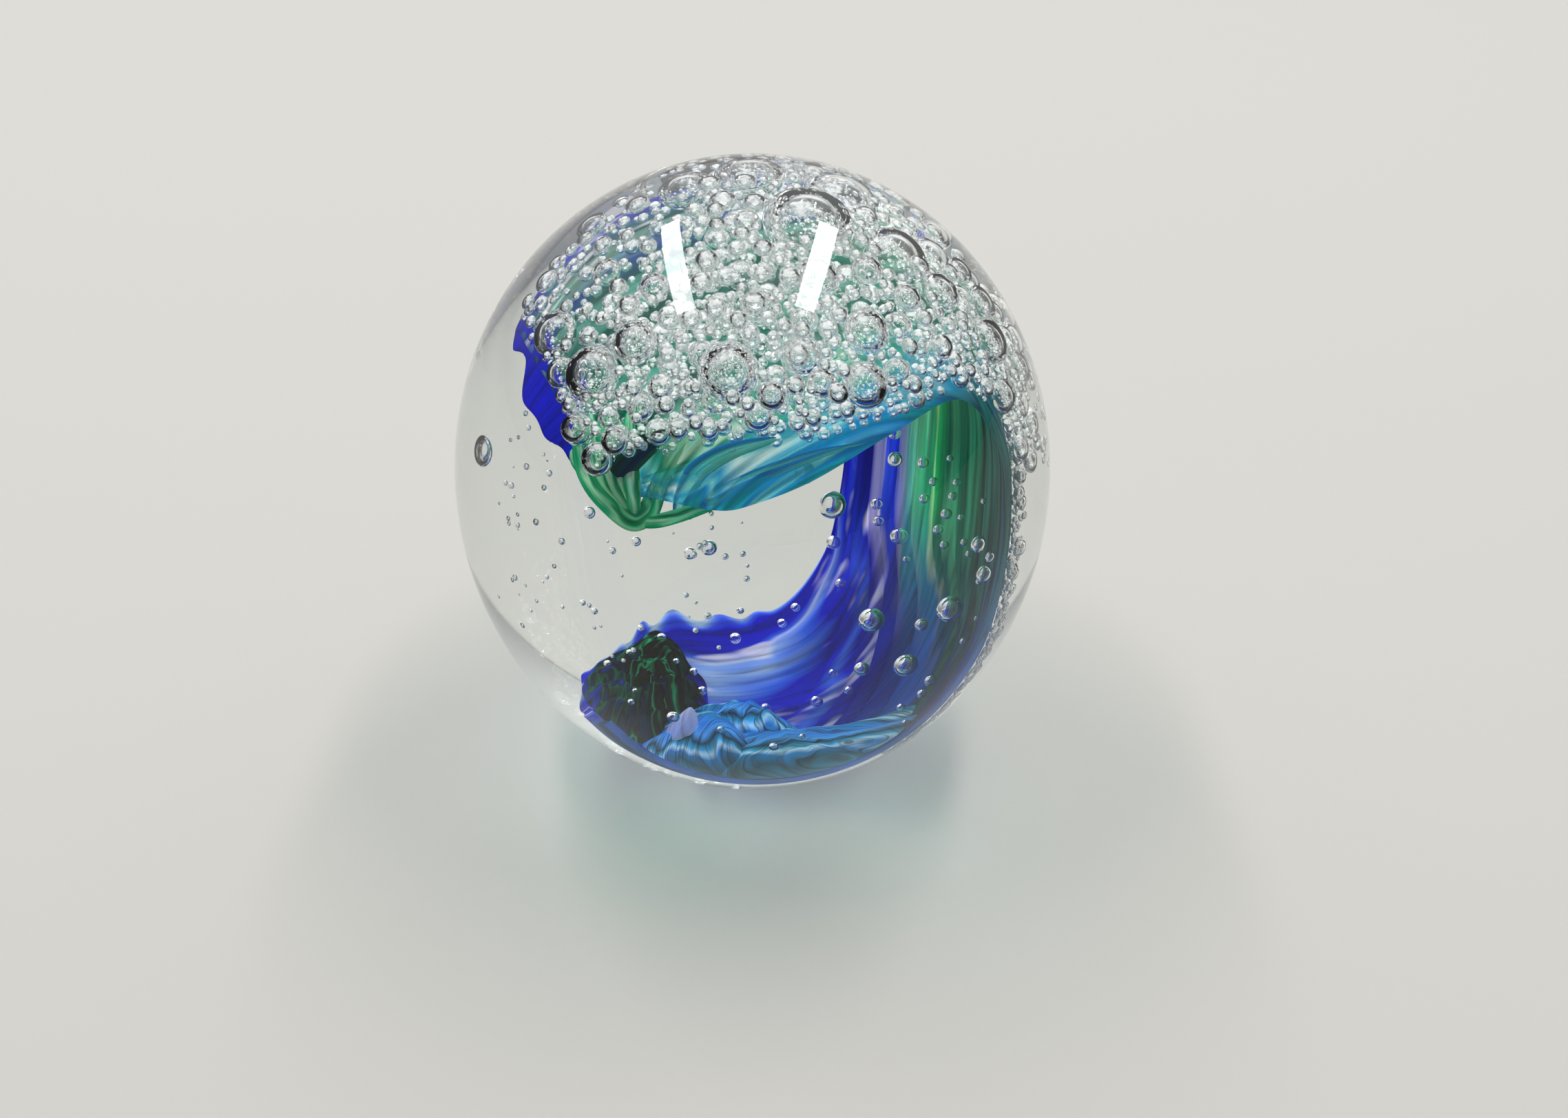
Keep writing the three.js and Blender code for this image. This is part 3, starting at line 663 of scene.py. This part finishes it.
def ball_grid(sides, rings):
    """A unit sphere as a grid of longitude and latitude, its poles closed by triangles."""
    a = np.linspace(0, 2 * np.pi, sides, endpoint=False)
    b = np.linspace(-np.pi / 2, np.pi / 2, rings + 1)[1:-1]
    points = np.stack([
        np.cos(b)[:, None] * np.cos(a), np.cos(b)[:, None] * np.sin(a),
        np.repeat(np.sin(b)[:, None], sides, axis=1),
    ], -1).reshape(-1, 3)
    points = np.concatenate([points, [[0, 0, -1], [0, 0, 1]]])
    k = np.arange(sides)
    after = (k + 1) % sides
    faces = [np.stack([after, k, np.full(sides, len(points) - 2)], -1)]
    for row in range(rings - 2):
        low, high = row * sides, (row + 1) * sides
        faces.append(np.stack([low + k, low + after, high + after], -1))
        faces.append(np.stack([low + k, high + after, high + k], -1))
    top = (rings - 2) * sides
    faces.append(np.stack([top + k, top + after, np.full(sides, len(points) - 1)], -1))
    return points, np.concatenate(faces)


def bubbles(name, centres, radii, sides, rings, air, *nodes):
    """Many balls in one mesh: the unit grid times each radius, plus each centre."""
    points, faces = ball_grid(sides, rings)
    centres, radii = np.asarray(centres, float), np.asarray(radii, float)
    everything = points[None] * radii[:, None, None] + centres[:, None, :]
    joined = faces[None] + (np.arange(len(centres)) * len(points))[:, None, None]
    piece = make_mesh(name, everything.reshape(-1, 3), joined.reshape(-1, 3))
    print(len(centres), "bubbles in", name)
    fit_in(piece, air, "foam_glass", *nodes)


def keep_apart(centres, radii, gap=0.06):
    """Goes through the balls in order and keeps each one that touches none kept before it."""
    kept = np.zeros(len(centres), bool)
    for i in range(len(centres)):
        near = centres[kept] - centres[i]
        far_enough = (near ** 2).sum(1) > (radii[kept] + radii[i] + gap) ** 2
        kept[i] = far_enough.all()
    return kept


# %% [markdown]
# ## Where the foam lies
#
# Foam collects on the round side of the crest, between the sheet and the skin of the first
# gather. A bubble's place is a station, a share across and a height above the sheet, as in the
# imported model: the small ones crowd low down and along the front, the larger ones rose to the
# top.

# %% Bubbles of the crest
chance = np.random.default_rng(11)
foam_start = 0.56
foam_end = 0.995
seat = sheet_thickness / 2 + 0.15
skin_cover = 0.4


def foam_border(u):
    """Lower border of the foam: the near edge on the right, drawn back towards the left."""
    return 0.99 - 0.24 * smoothstep(u, 0.72, 1)


def bare_spots(u, v):
    """Where the foam thins out and the colours show: at the far left, and at the far right."""
    return (smoothstep(u, 0.80, 0.88) * (1 - smoothstep(v, 0.34, 0.46)),
            (1 - smoothstep(u, 0.68, 0.75)) * (1 - smoothstep(v, 0.28, 0.42)))


def free_view(centres, radii, over):
    """False for each ball that hides a ball larger than over from the viewer. Glass bends the line
    of sight towards the skin's own direction, so the way out is taken between the two."""
    to_viewer = np.array([0.0, -0.85, 0.53])
    bend = 0.45
    free = np.ones(len(centres), bool)
    for centre, radius in zip(centres[radii > over], radii[radii > over]):
        skin_way = unit((centre - gather_centre) / gather_reach ** 2)
        way = unit((1 - bend) * to_viewer + bend * skin_way)
        shift = centres - centre
        along = shift @ way
        aside = np.linalg.norm(shift - along[:, None] * way, axis=1)
        free &= (along <= 0.1) | (aside > 0.85 * radius) | (radii > over)
    return free


def crowd(count, small, large, low, high, crowding):
    """Bubbles by chance: radius between small and large, height between two shares of the room.
    The bank is low where it starts, and bubbles drop out in the bare spots and before a ragged
    line at the start of the foam."""
    radius = small * (large / small) ** (chance.random(count) ** crowding)
    u = foam_start + (foam_end - foam_start) * chance.random(count)
    s = 1 - 0.98 * chance.random(count) ** 1.2
    v = 0.02 + (foam_border(u) - 0.02) * s
    room = np.maximum(room_at(u, v) - seat - 2 * radius - skin_cover, 0)
    low_start = 0.35 + 0.65 * smoothstep(u, 0.66, 0.77)
    room = room * np.maximum(low_start, smoothstep(v, 0.5, 0.7))
    share = low + (high - low) * chance.random(count) ** 1.6
    height = seat + radius + room * share
    bare = sum(bare_spots(u, v))
    ragged = foam_start + 0.035 + 0.035 * np.sin(19 * v) * np.cos(8 * v)
    bare = np.maximum(bare, 1.22 * (1 - smoothstep(u, ragged - 0.02, ragged + 0.05)))
    kept = chance.random(count) > 0.82 * bare
    return wave_at(u, v, height)[kept], radius[kept]


# Bubbles that stand out in the foam: x, y, z of the centre and the diameter
large_bubbles = np.array([
    [5.8, 2.4, 67.3, 9.4], [8.1, 11.8, 61.1, 7.4], [14.4, 1.4, 63.8, 7], [0, 11, 66.6, 7],
    [-2.5, -18.2, 62.8, 6.6], [-16.9, -14, 60.1, 6.3], [-6.3, 8.9, 66.7, 5.6], [-20.4, -6, 60, 5.4],
    [25.2, -3, 57, 5.4], [12, -12, 63.7, 5.2], [11.9, -17.2, 60.4, 5.2], [-12.4, -14, 64, 5],
    [6.8, -7.3, 67.3, 5], [5.2, -15.2, 62.6, 4.6], [16.3, 7.6, 58, 4.6], [19.5, -1.7, 61.9, 4.6],
    [0.9, -10, 65.3, 4.2], [12, -4.6, 66.6, 3.6], [0.6, -20.4, 58.6, 3.4], [21, 5, 60, 3.2],
    [-9.7, -19, 61.5, 2.9], [-16.6, -16, 50.4, 2.4],
])
crowds = [
    crowd(1400, 0.95, 2.1, 0.1, 1.0, 1.5),
    crowd(9000, 0.48, 0.95, 0.0, 0.95, 1.6),
    crowd(1500, 0.34, 0.46, 0.0, 0.25, 1.0),
]
centres = np.concatenate([large_bubbles[:, :3]] + [c for c, _ in crowds])
radii = np.concatenate([large_bubbles[:, 3] / 2] + [r for _, r in crowds])
kept = keep_apart(centres, radii)
centres, radii = centres[kept], radii[kept]
kept = free_view(centres, radii, 1.1)
centres, radii = centres[kept], radii[kept]
sizes = [
    (1.5, 9, 32, 20, "large", air_with_small_painted_highlight), (0.8, 1.5, 18, 11, "middling", air_with_medium_painted_highlight),
    (0, 0.8, 12, 7, "small", air_with_broad_painted_highlight),
]
for least, most, sides, rings, word, air in sizes:
    chosen = (radii >= least) & (radii < most)
    bubbles("foam_bubbles_" + word, centres[chosen], radii[chosen], sides, rings, air, "foam_crest")

# %% Trail of bubbles down the round side, and loose bubbles by the hollow side
# The trail keeps to the near part of the wall, and spreads over it towards the crest
count = 950
u = chance.uniform(0.28, 0.62, count)
edge = 0.80 - 0.3 * smoothstep(u, 0.45, 0.6)
v = edge + (1.0 - edge) * chance.random(count)
radius = 0.3 * (0.9 / 0.3) ** chance.random(count) ** 2
trail_centres = wave_at(u, v, seat + radius + 1.4 * chance.random(count) ** 2)
inside = (((trail_centres - gather_centre) / (gather_reach - radius[:, None])) ** 2).sum(1) < 1
kept = np.flatnonzero(inside)
kept = kept[keep_apart(trail_centres[kept], radius[kept])]
bubbles("trail_bubbles", trail_centres[kept], radius[kept], 14, 8, air_with_small_painted_highlight, "foam_trail")

# x, y, z of the centre and the diameter
loose_bubbles = np.array([
    [-29.5, -10, 48.1, 3.6], [4.9, -14, 47.8, 2.3], [7.4, -12, 43, 2.7], [-4, -8, 36.3, 1.5],
    [-5.7, -8, 35.7, 1.2], [-10.8, -10, 38, 1], [-15.4, -10, 41.1, 1.3], [17.8, -8, 28.8, 2.8],
    [10.1, -6, 27.4, 2.3], [13.7, -10, 23.8, 2.4], [9.3, -8, 23.1, 1.4], [14.9, -8, 27.4, 1.3],
    [22, -11, 37.2, 1.8], [22.6, -11, 33.6, 2], [13.8, -12, 48, 1.5], [-6.8, 6.5, 20.5, 0.7],
    [-1.4, 7.3, 20, 0.9], [2, 8.2, 20.9, 0.7], [3, 8.8, 22, 0.7], [6.4, 8.2, 24.4, 0.8],
    [5.9, 9.6, 27.4, 1.1], [9.5, 7.6, 32, 1], [9.6, 7.2, 30.6, 0.9], [11.3, 5.4, 30.1, 1.4],
    [15, 2.2, 32.3, 0.9], [18.7, -3, 32.3, 0.7], [0.8, 2.2, 15.8, 0.9], [4.6, 2.1, 16.4, 1],
    [7.1, 1.8, 17.4, 0.8], [5.8, 3.8, 18.3, 0.7], [14.3, -5.6, 18.8, 1], [-4.7, 1.6, 19.4, 0.7],
    [-4.1, 0.1, 18.2, 0.8], [-11.4, 0.8, 20.4, 0.6], [-9.5, -1.7, 18.7, 0.5], [-7.5, -1.1, 18, 0.5],
    [-6, 2.3, 20.1, 0.5], [-9.5, 2.8, 20.7, 0.5], [-10.4, -5.6, 18.8, 0.6], [1.7, -12.4, 15.9, 1],
    [-2.9, -7, 16.6, 0.7], [4.1, -9.4, 16.3, 0.6], [-7.2, -9.6, 18.6, 1.2], [14.6, 4.1, 36, 0.8],
    [16.6, 1.6, 35.9, 0.8], [13.7, 4.4, 34.2, 0.9], [15.9, 1.7, 34.1, 1], [15.6, 1.2, 31.3, 0.8],
    [18, -1.7, 32.9, 0.7], [17.1, 1.4, 37.4, 0.7], [13.7, 5.3, 37.2, 1], [11.1, 8.4, 38.2, 1],
    [23.3, -10.7, 35.4, 1.2], [20.8, -7.3, 31.2, 0.8], [19.1, -7.9, 24.8, 0.8],
    [12.1, -4.4, 17.3, 0.8], [11.9, 4.4, 28.4, 0.6], [15.3, -6.4, 20.4, 1.2],
    [21.7, -11.3, 28.5, 0.6], [17.6, -0.4, 34.8, 0.6], [21, -4.3, 38.5, 0.6], [16.4, 2.9, 39, 0.6],
    [13.9, -10.3, 16.6, 0.7], [7.9, -3.2, 15.2, 0.6],
])
specks = 90
speck_places = chance.uniform([-26, -20, 28], [0, -4, 54], (specks, 3))
speck_radii = chance.uniform(0.12, 0.4, specks)
bubbles("loose_bubbles", np.concatenate([loose_bubbles[:, :3], speck_places]),
        np.concatenate([loose_bubbles[:, 3] / 2, speck_radii]), 20, 12, plain_air)

# %% [markdown]
# ## Froth
#
# Under the bubbles that can be told apart lies a froth too fine for that: a thin white veil on
# the sheet, cut up into cells about a millimetre wide, with gaps where the colours show.

# %% Froth
def froth_glass():
    """White veil with gaps: one noise 5 mm wide opens them, cells of 1.1 mm have darker borders."""
    material, tree, output = new_material("fine_foam_in_glass")
    flow = add_node(tree, "Attribute", own_attribute_name="flow")
    fade = add_node(tree, "SeparateXYZ", {"Vector": flow.outputs["Vector"]})
    place = add_node(tree, "TexCoord")
    cells = add_node(tree, "TexVoronoi", {"Vector": place.outputs["Object"]}, scale=1 / (1.1 * MM))
    border = colour_ramp(tree, cells.outputs["Distance"],
                         [(0.25, linear("#ffffff")), (0.75, linear("#9fb8b2"))])
    dense = stretch(tree, spots(tree, 5, 3.0, 0.65), 0.46, 0.66, 0.0, 0.10, "LINEAR")
    clear = add_node(tree, "BsdfTransparent")
    whole = blend(tree, times(tree, dense, fade.outputs["Z"]), clear.outputs[0],
                  milky(tree, border.outputs["Color"]))
    let_lamps_pass(tree, output, whole, "#f2f6f5")
    return material


u = (foam_start + (foam_end - foam_start) * np.linspace(0, 1, 81))[:, None]
s = np.linspace(0, 1, 61)[None, :]
v = 0.03 + (foam_border(u) - 0.03) * s
top, thickness = seat + 0.45, 0.2
fade = smoothstep(s, 0, 0.12) * smoothstep(1 - s, 0, 0.1)
fade = fade * smoothstep(u, foam_start, foam_start + 0.06) * smoothstep(1 - u, 0, 0.08)
for spot in bare_spots(u, v):
    fade = fade * (1 - 0.9 * spot)
flow = flow_from(u * 100, s * 40, fade)
froth = loft("foam_froth", wave_at(u, v, top), wave_at(u, v, top - thickness), flow)
fit_in(froth, froth_glass(), "foam_glass", "foam_crest")

# %% [markdown]
# ## Lumps and canes
#
# What lies in the trough and hangs from the lip was never flat. A lump is a mound with an uneven
# outline whose skin is wrinkled by a sum of waves in random directions. A cane is a thread of
# glass with an oval section that follows a smooth curve and tapers to nothing at both ends.

# %% Shapes of lumps and canes
def wrinkles(points, size, seed, octaves=4):
    """An uneven field from about -1 to 1: sums of sines, each octave half as long and as high."""
    chance = np.random.default_rng(seed)
    total = np.zeros(points.shape[:-1])
    for k in range(octaves):
        ways = unit(chance.normal(size=(6, 3))) * 2 * np.pi * 2 ** k / size
        total += np.sin(points @ ways.T + chance.uniform(0, 2 * np.pi, 6)).sum(-1) / (2.4 * 2 ** k)
    return total


hollow_side = -(sheet_thickness / 2 + 0.02)


def lump(name, middle, reach, height, roughness, size, seed, slant=0.0, waver=1.0,
         lengthwise=False, roundness=1.0, rows=60, sides=160):
    """A mound on the hollow side of the sheet. Its outline is an oval in u and v that wavers, and
    its height falls to nothing at the rim as (1 - r^2)^0.9, times 1 + roughness x wrinkles. A
    roundness below 1 makes the oval squarer. The share of its flow runs across the pull, or
    lengthwise."""
    a = np.linspace(0, 2 * np.pi, sides, endpoint=False)[None, :]
    r = np.concatenate([np.linspace(0.03, 1, rows // 4), np.linspace(0.995, 0.03, rows)])[:, None]
    sway = 0.10 * np.sin(3 * a + seed) + 0.06 * np.sin(7 * a + 2 * seed) + 0.03 * np.sin(13 * a)
    outline = r * (1 + waver * sway)
    u = middle[0] + reach[0] * outline * np.sign(np.cos(a)) * np.abs(np.cos(a)) ** roundness
    v = middle[1] + reach[1] * outline * np.sign(np.sin(a)) * np.abs(np.sin(a)) ** roundness
    v = v + slant * (u - middle[0])
    foot = wave_at(u, v, hollow_side)
    under = (np.arange(len(r)) < rows // 4)[:, None]
    dome = (1 - r ** 2) ** 0.9
    bumps = np.clip(1 + roughness * wrinkles(foot, size, seed), 0.15, 2)
    rise = np.where(under, 0, height * dome * bumps)
    rings = wave_at(u, v, hollow_side - rise)
    share = 0.5 - 0.5 * r * (np.cos(a) if lengthwise else -np.sin(a))
    flow = flow_from(u * wave_length + rise, v * sheet_width(u) + rise, np.sqrt(share))
    return pod(name, rings, rings[0].mean(0), rings[-1].mean(0), flow)


def cane(points, wide, thick, power=0.5, rows=90, sides=20):
    """A cane through points: half its width lies in the plane that faces the front, half its
    thickness square on it, and both taper as a power of sin(pi t)."""
    t = np.linspace(0, 1, rows)
    path = curve_through(np.asarray(points, float), t)
    run = unit(np.gradient(path, axis=0))
    side = unit(np.cross(run, [0.0, 1.0, 0.0]))
    face = np.cross(side, run)
    a = np.linspace(0, 2 * np.pi, sides, endpoint=False)
    taper = np.sin(np.pi * (0.01 + 0.98 * t)) ** power
    rings = (path[:, None] + wide * (taper[:, None] * np.cos(a))[..., None] * side[:, None]
             + thick * (taper[:, None] * np.sin(a))[..., None] * face[:, None])
    along = np.cumsum(np.linalg.norm(np.gradient(path, axis=0), axis=-1))
    flow = flow_from(along[:, None], wide * np.cos(a), 0.5 + 0.5 * np.cos(a))
    return pod("cane", rings, path[0], path[-1], flow)


def join(name, pieces):
    """One mesh from several lumps or canes."""
    with bpy.context.temp_override(active_object=pieces[0], selected_editable_objects=pieces):
        bpy.ops.object.join()
    pieces[0].name = name
    return pieces[0]


# %% Sea bed and swirl
bed_chart = [
    (0, "#1c22c8", 0.95), (0.05, "#12107c", 0.95), (0.11, "#04101c", 0.98), (0.2, "#0a4438", 0.95),
    (0.26, "#020a0a", 0.98), (0.38, "#031210", 0.98), (0.43, "#0c5c40", 0.95),
    (0.47, "#1cc07c", 0.9), (0.5, "#06402e", 0.95), (0.58, "#020a0a", 0.98),
    (0.68, "#0a3058", 0.95), (0.74, "#021010", 0.98), (0.86, "#0c6a50", 0.92),
    (0.94, "#03201c", 0.98), (1, "#1030a0", 0.95),
]
bed = lump("sea_bed_mass", (0.095, 0.27), (0.095, 0.25), 3.8, 0.35, 5.0, 5, slant=0.3, waver=0.5,
           lengthwise=True, roundness=0.75)
fit_in(bed, pulled_glass("sea_bed_glass", (bed_chart,), wander=0.2, streak=0.8, pull=5),
       "bottle_green_glass", "sea_bed")
swirl_chart = [
    (0, "#0c80b0", 0.95), (0.1, "#22a6d4", 0.9), (0.14, "#d0f2fc", 0.85), (0.17, "#128cbc", 0.95),
    (0.25, "#04344a", 0.98), (0.32, "#24aad0", 0.9), (0.36, "#e0f8ff", 0.85),
    (0.4, "#1490c0", 0.95), (0.5, "#3c94e6", 0.9), (0.58, "#5ab0ec", 0.9), (0.65, "#04384c", 0.98),
    (0.71, "#30b2d4", 0.9), (0.75, "#d4f4fc", 0.85), (0.8, "#0e84bc", 0.95), (0.9, "#044c5c", 0.98),
    (1, "#0a7894", 0.95),
]
swirl = join("sea_swirl_roll", [
    lump("sea_swirl_swell", (0.22, 0.62), (0.10, 0.20), 4.4, 0.06, 9.0, 9, slant=0.5),
    lump("sea_swirl_peak", (0.195, 0.48), (0.06, 0.15), 6.0, 0.10, 8.0, 4, slant=0.9, waver=0.5),
    lump("sea_swirl_shoulder", (0.158, 0.55), (0.06, 0.22), 4.8, 0.05, 9.0, 6, slant=0.6,
         waver=0.5),
])
fit_in(swirl, pulled_glass("sea_swirl_glass", (swirl_chart,), wander=0.07, streak=0.2, pull=12,
                           shine=(0.35, 2.3)), "turquoise_glass", "sea_swirl")
lilac_chart = [
    (0, "#7f9ae6", 0.8), (0.4, "#d8d6ee", 0.8), (1, "#b4c4ea", 0.8),
]
pale = lump("sea_lilac_patch", (0.130, 0.54), (0.022, 0.09), 5.6, 0.1, 8.0, 2, waver=0.5)
fit_in(pale, pulled_glass("sea_lilac_glass", (lilac_chart,)), "opal_glass")

# %% The tip of the lip
green_chart = [
    (0, "#16a074", 0.85), (0.12, "#2cc492", 0.8), (0.3, "#d4f6dc", 0.6), (0.42, "#30bc88", 0.8),
    (0.6, "#0f8860", 0.85), (0.75, "#8ce8bc", 0.6), (1, "#108c68", 0.85),
]
dark_chart = [
    (0, "#06402e", 0.92), (0.45, "#0a2a52", 0.92), (0.7, "#07523a", 0.9), (1, "#0b6a44", 0.85),
]
aqua_chart = [
    (0, "#2f9c8c", 0.6), (0.35, "#8fd6cc", 0.25), (0.6, "#2a94b0", 0.55), (1, "#2a7fd0", 0.65),
]
hook = np.array([
    [-18.2, -14.5, 55], [-17.9, -16.5, 51.4], [-16.7, -17.9, 49], [-14.6, -18.7, 46.9],
    [-12.2, -19, 45.2], [-10.6, -18.5, 45.9], [-9.6, -17.3, 47.6], [-8.4, -16.2, 50],
    [-6.6, -15.6, 53.4],
])
hook_foot = hook[4]
strands = hook[:5] - hook_foot
green_canes = [cane(hook, 1.2, 0.9)] + [
    cane(hook_foot + strands * [size, 1, 1] + [0.2, 0, 0.3], wide, 0.8 * wide, power=0.35)
    for size, wide in ((0.76, 0.8), (0.55, 0.9), (0.32, 0.7), (0.08, 1.0))
]
green_canes += [
    cane([[-14.2, -18.4, 47.2], [-12.4, -19, 45.5], [-10.2, -19.2, 45.2], [-7.4, -19.1, 45.9],
          [-3.6, -19.2, 47.5], [0.8, -19.2, 49.6]], 0.8, 0.5),
    cane([[-18.4, -14, 50.6], [-16.8, -15.2, 49.6], [-14.9, -16, 50.2]], 1.3, 1.0),
]
tip = join("tip_green_canes", green_canes)
fit_in(tip, pulled_glass("tip_green_glass", (green_chart,), wander=0.3, streak=0.35, pull=9),
       "green_glass", "crest_tip")
dark = join("tip_dark_canes", [
    cane([[-6.6, -16.2, 55.2], [-9.6, -17, 53.9], [-12.2, -17.6, 51.9], [-14, -17.8, 49.3],
          [-14.4, -17.4, 46.4]], 1.5, 0.5, power=1.0),
    cane([[-10, -14.4, 54], [-12.4, -14.9, 51.6], [-13.6, -15.2, 48.4]], 1.1, 0.6, power=1.0),
])
fit_in(dark, pulled_glass("tip_dark_glass", (dark_chart,), streak=0.6), "dark_green_glass",
       "crest_tip")
wisps = join("lip_wisps", [
    cane([[-7.6, -17.2, 44.8], [-6.7, -18, 48], [-5.4, -18.6, 51], [-2.3, -19, 53.4],
          [2.4, -19.2, 55]], 1.2, 0.4),
    cane([[-8, -18, 45.2], [-4.6, -19.2, 47.2], [-0.4, -19.6, 49.8], [4.6, -19.4, 52.1],
          [9.6, -18.6, 53.6]], 0.5, 0.3),
    cane([[-4, -19.4, 49], [0.6, -19.6, 51.4], [6, -18.9, 53], [11.4, -17.6, 53.4]], 0.35, 0.22),
])
fit_in(wisps, pulled_glass("lip_wisp_glass", (aqua_chart,), streak=0.4), "turquoise_glass")

# %% The fringe at the left end of the crest
fringe_chart = [
    (0, "#0a12c0", 0.9), (0.45, "#1420d4", 0.9), (0.62, "#0d2cc8", 0.85), (0.74, "#0a7a50", 0.8),
    (1, "#1f9a5c", 0.75),
]
fringe_end = 0.86
v = np.linspace(0.0, fringe_end, 241)[:, None]
s = np.linspace(0, 1, 13)[None, :]
ragged = wrinkles(wave_point(1.0, v), 9.0, 4, 2)
shortest, longest = 0.8, 4.6
reach = np.clip(2.6 + 2.2 * ragged, shortest, longest)
reach = reach * smoothstep(v, -0.02, 0.06) * smoothstep(0.9 - v, 0, 0.1)
along, across, out = wave_frame(1.0, v)
overlap = 1.5
root = 1 - overlap / wave_length
start = wave_point(root, v)
bend = 0.05 * (reach * s) ** 2
spot = start + along * ((overlap + reach) * s)[..., None] - out * bend[..., None]
lens = (0.62 * (1 - s ** 3) + 0.04)[..., None] * out
flow = flow_from(s * 4, v * 40, v / fringe_end)
fringe = loft("cobalt_fringe", spot + lens, spot - lens, flow)
fit_in(fringe, pulled_glass("fringe_cobalt_glass", (fringe_chart,), streak=1.6), "cobalt_glass",
       "left_fringe")

# %% [markdown]
# ## Floor, light and camera
#
# The piece stands on a large pale floor under two long overhead lamps. The camera looks down at
# it as the photograph does, from about 30 cm away.

# %% Floor
floor_material, tree, output = new_material("pale_floor")
matt = add_node(tree, "BsdfPrincipled", base_color=linear("#bab8b3"), roughness=0.6)
tree.links.new(matt.outputs[0], output.inputs["Surface"])
sides = 96
floor_radius = 4000
around = np.linspace(0, 2 * np.pi, sides, endpoint=False)
rim = np.stack([floor_radius * np.cos(around), floor_radius * np.sin(around), 0 * around], -1)
floor_points = np.concatenate([rim, [[0, 0, 0]]])
k = np.arange(sides)
slices = np.stack([k, (k + 1) % sides, np.full(sides, sides)], -1)
floor = make_mesh("floor", floor_points, slices)
floor.data.materials.append(floor_material)

# %% World
brightest_way = (0.0, 0.60, 0.80)
sky_strength = 0.56
sky_stops = [
    (0, (0.38, 0.385, 0.39, 1)), (0.35, (0.5, 0.5, 0.5, 1)), (0.55, (1.2, 1.2, 1.2, 1)),
    (0.75, (1.9, 1.9, 1.88, 1)),
]
world = bpy.data.worlds.new("studio")
bpy.context.scene.world = world
world.use_nodes = True
tree = world.node_tree
tree.nodes.clear()
place = add_node(tree, "TexCoord")
facing = add_node(tree, "VectorMath", {0: place.outputs["Generated"]}, own_operation="DOT_PRODUCT")
facing.inputs[1].default_value = brightest_way
sky = colour_ramp(tree, facing.outputs["Value"], sky_stops)
shine = add_node(tree, "Background", {"Color": sky.outputs["Color"]}, strength=sky_strength)
add_node(tree, "OutputWorld", {"Surface": shine.outputs[0]})

# %% Lamps
lamp_height = 0.70
lamp_width = 0.09
lamp_brightness = 15
# Both ends of each lamp, in lamp heights from the middle of the egg
lamp_ends = [([-0.397, -0.085, 1], [-0.493, 0.946, 1]), ([0.317, -0.099, 1], [0.470, 0.861, 1])]
for near, far in lamp_ends:
    near, far = np.array(near) * lamp_height, np.array(far) * lamp_height
    data = bpy.data.lights.new("strip_lamp", "AREA")
    data.shape = "RECTANGLE"
    data.size = lamp_width
    data.size_y = float(np.linalg.norm(far - near))
    data.energy = lamp_brightness * math.pi * data.size * data.size_y
    lamp = bpy.data.objects.new("strip_lamp", data)
    lamp.location = (near + far) / 2 + [0, 0, egg_middle * MM]
    lamp.rotation_euler = (0, 0, -math.atan2(far[0] - near[0], far[1] - near[1]))
    bpy.context.scene.collection.objects.link(lamp)

# %% Camera
elevation, aim_below, aim_right = np.radians([32, 2, 0.9]).tolist()
camera_distance = 300
film_width = 36
focal_pixels = 3379
picture_pixels = 2277
camera_data = bpy.data.cameras.new("camera")
camera_data.sensor_width = film_width
camera_data.lens = film_width * focal_pixels / picture_pixels
camera_data.clip_start = 0.01
camera = bpy.data.objects.new("camera", camera_data)
camera.location = (
    0.0,
    -camera_distance * math.cos(elevation) * MM,
    (egg_middle + camera_distance * math.sin(elevation)) * MM,
)
camera.rotation_euler = (math.pi / 2 - elevation - aim_below, 0, -aim_right)
bpy.context.scene.collection.objects.link(camera)
bpy.context.scene.camera = camera
bpy.context.scene.view_settings.view_transform = "Standard"
cycles = bpy.context.scene.cycles
cycles.max_bounces = 32
cycles.transmission_bounces = 32
cycles.transparent_max_bounces = 48
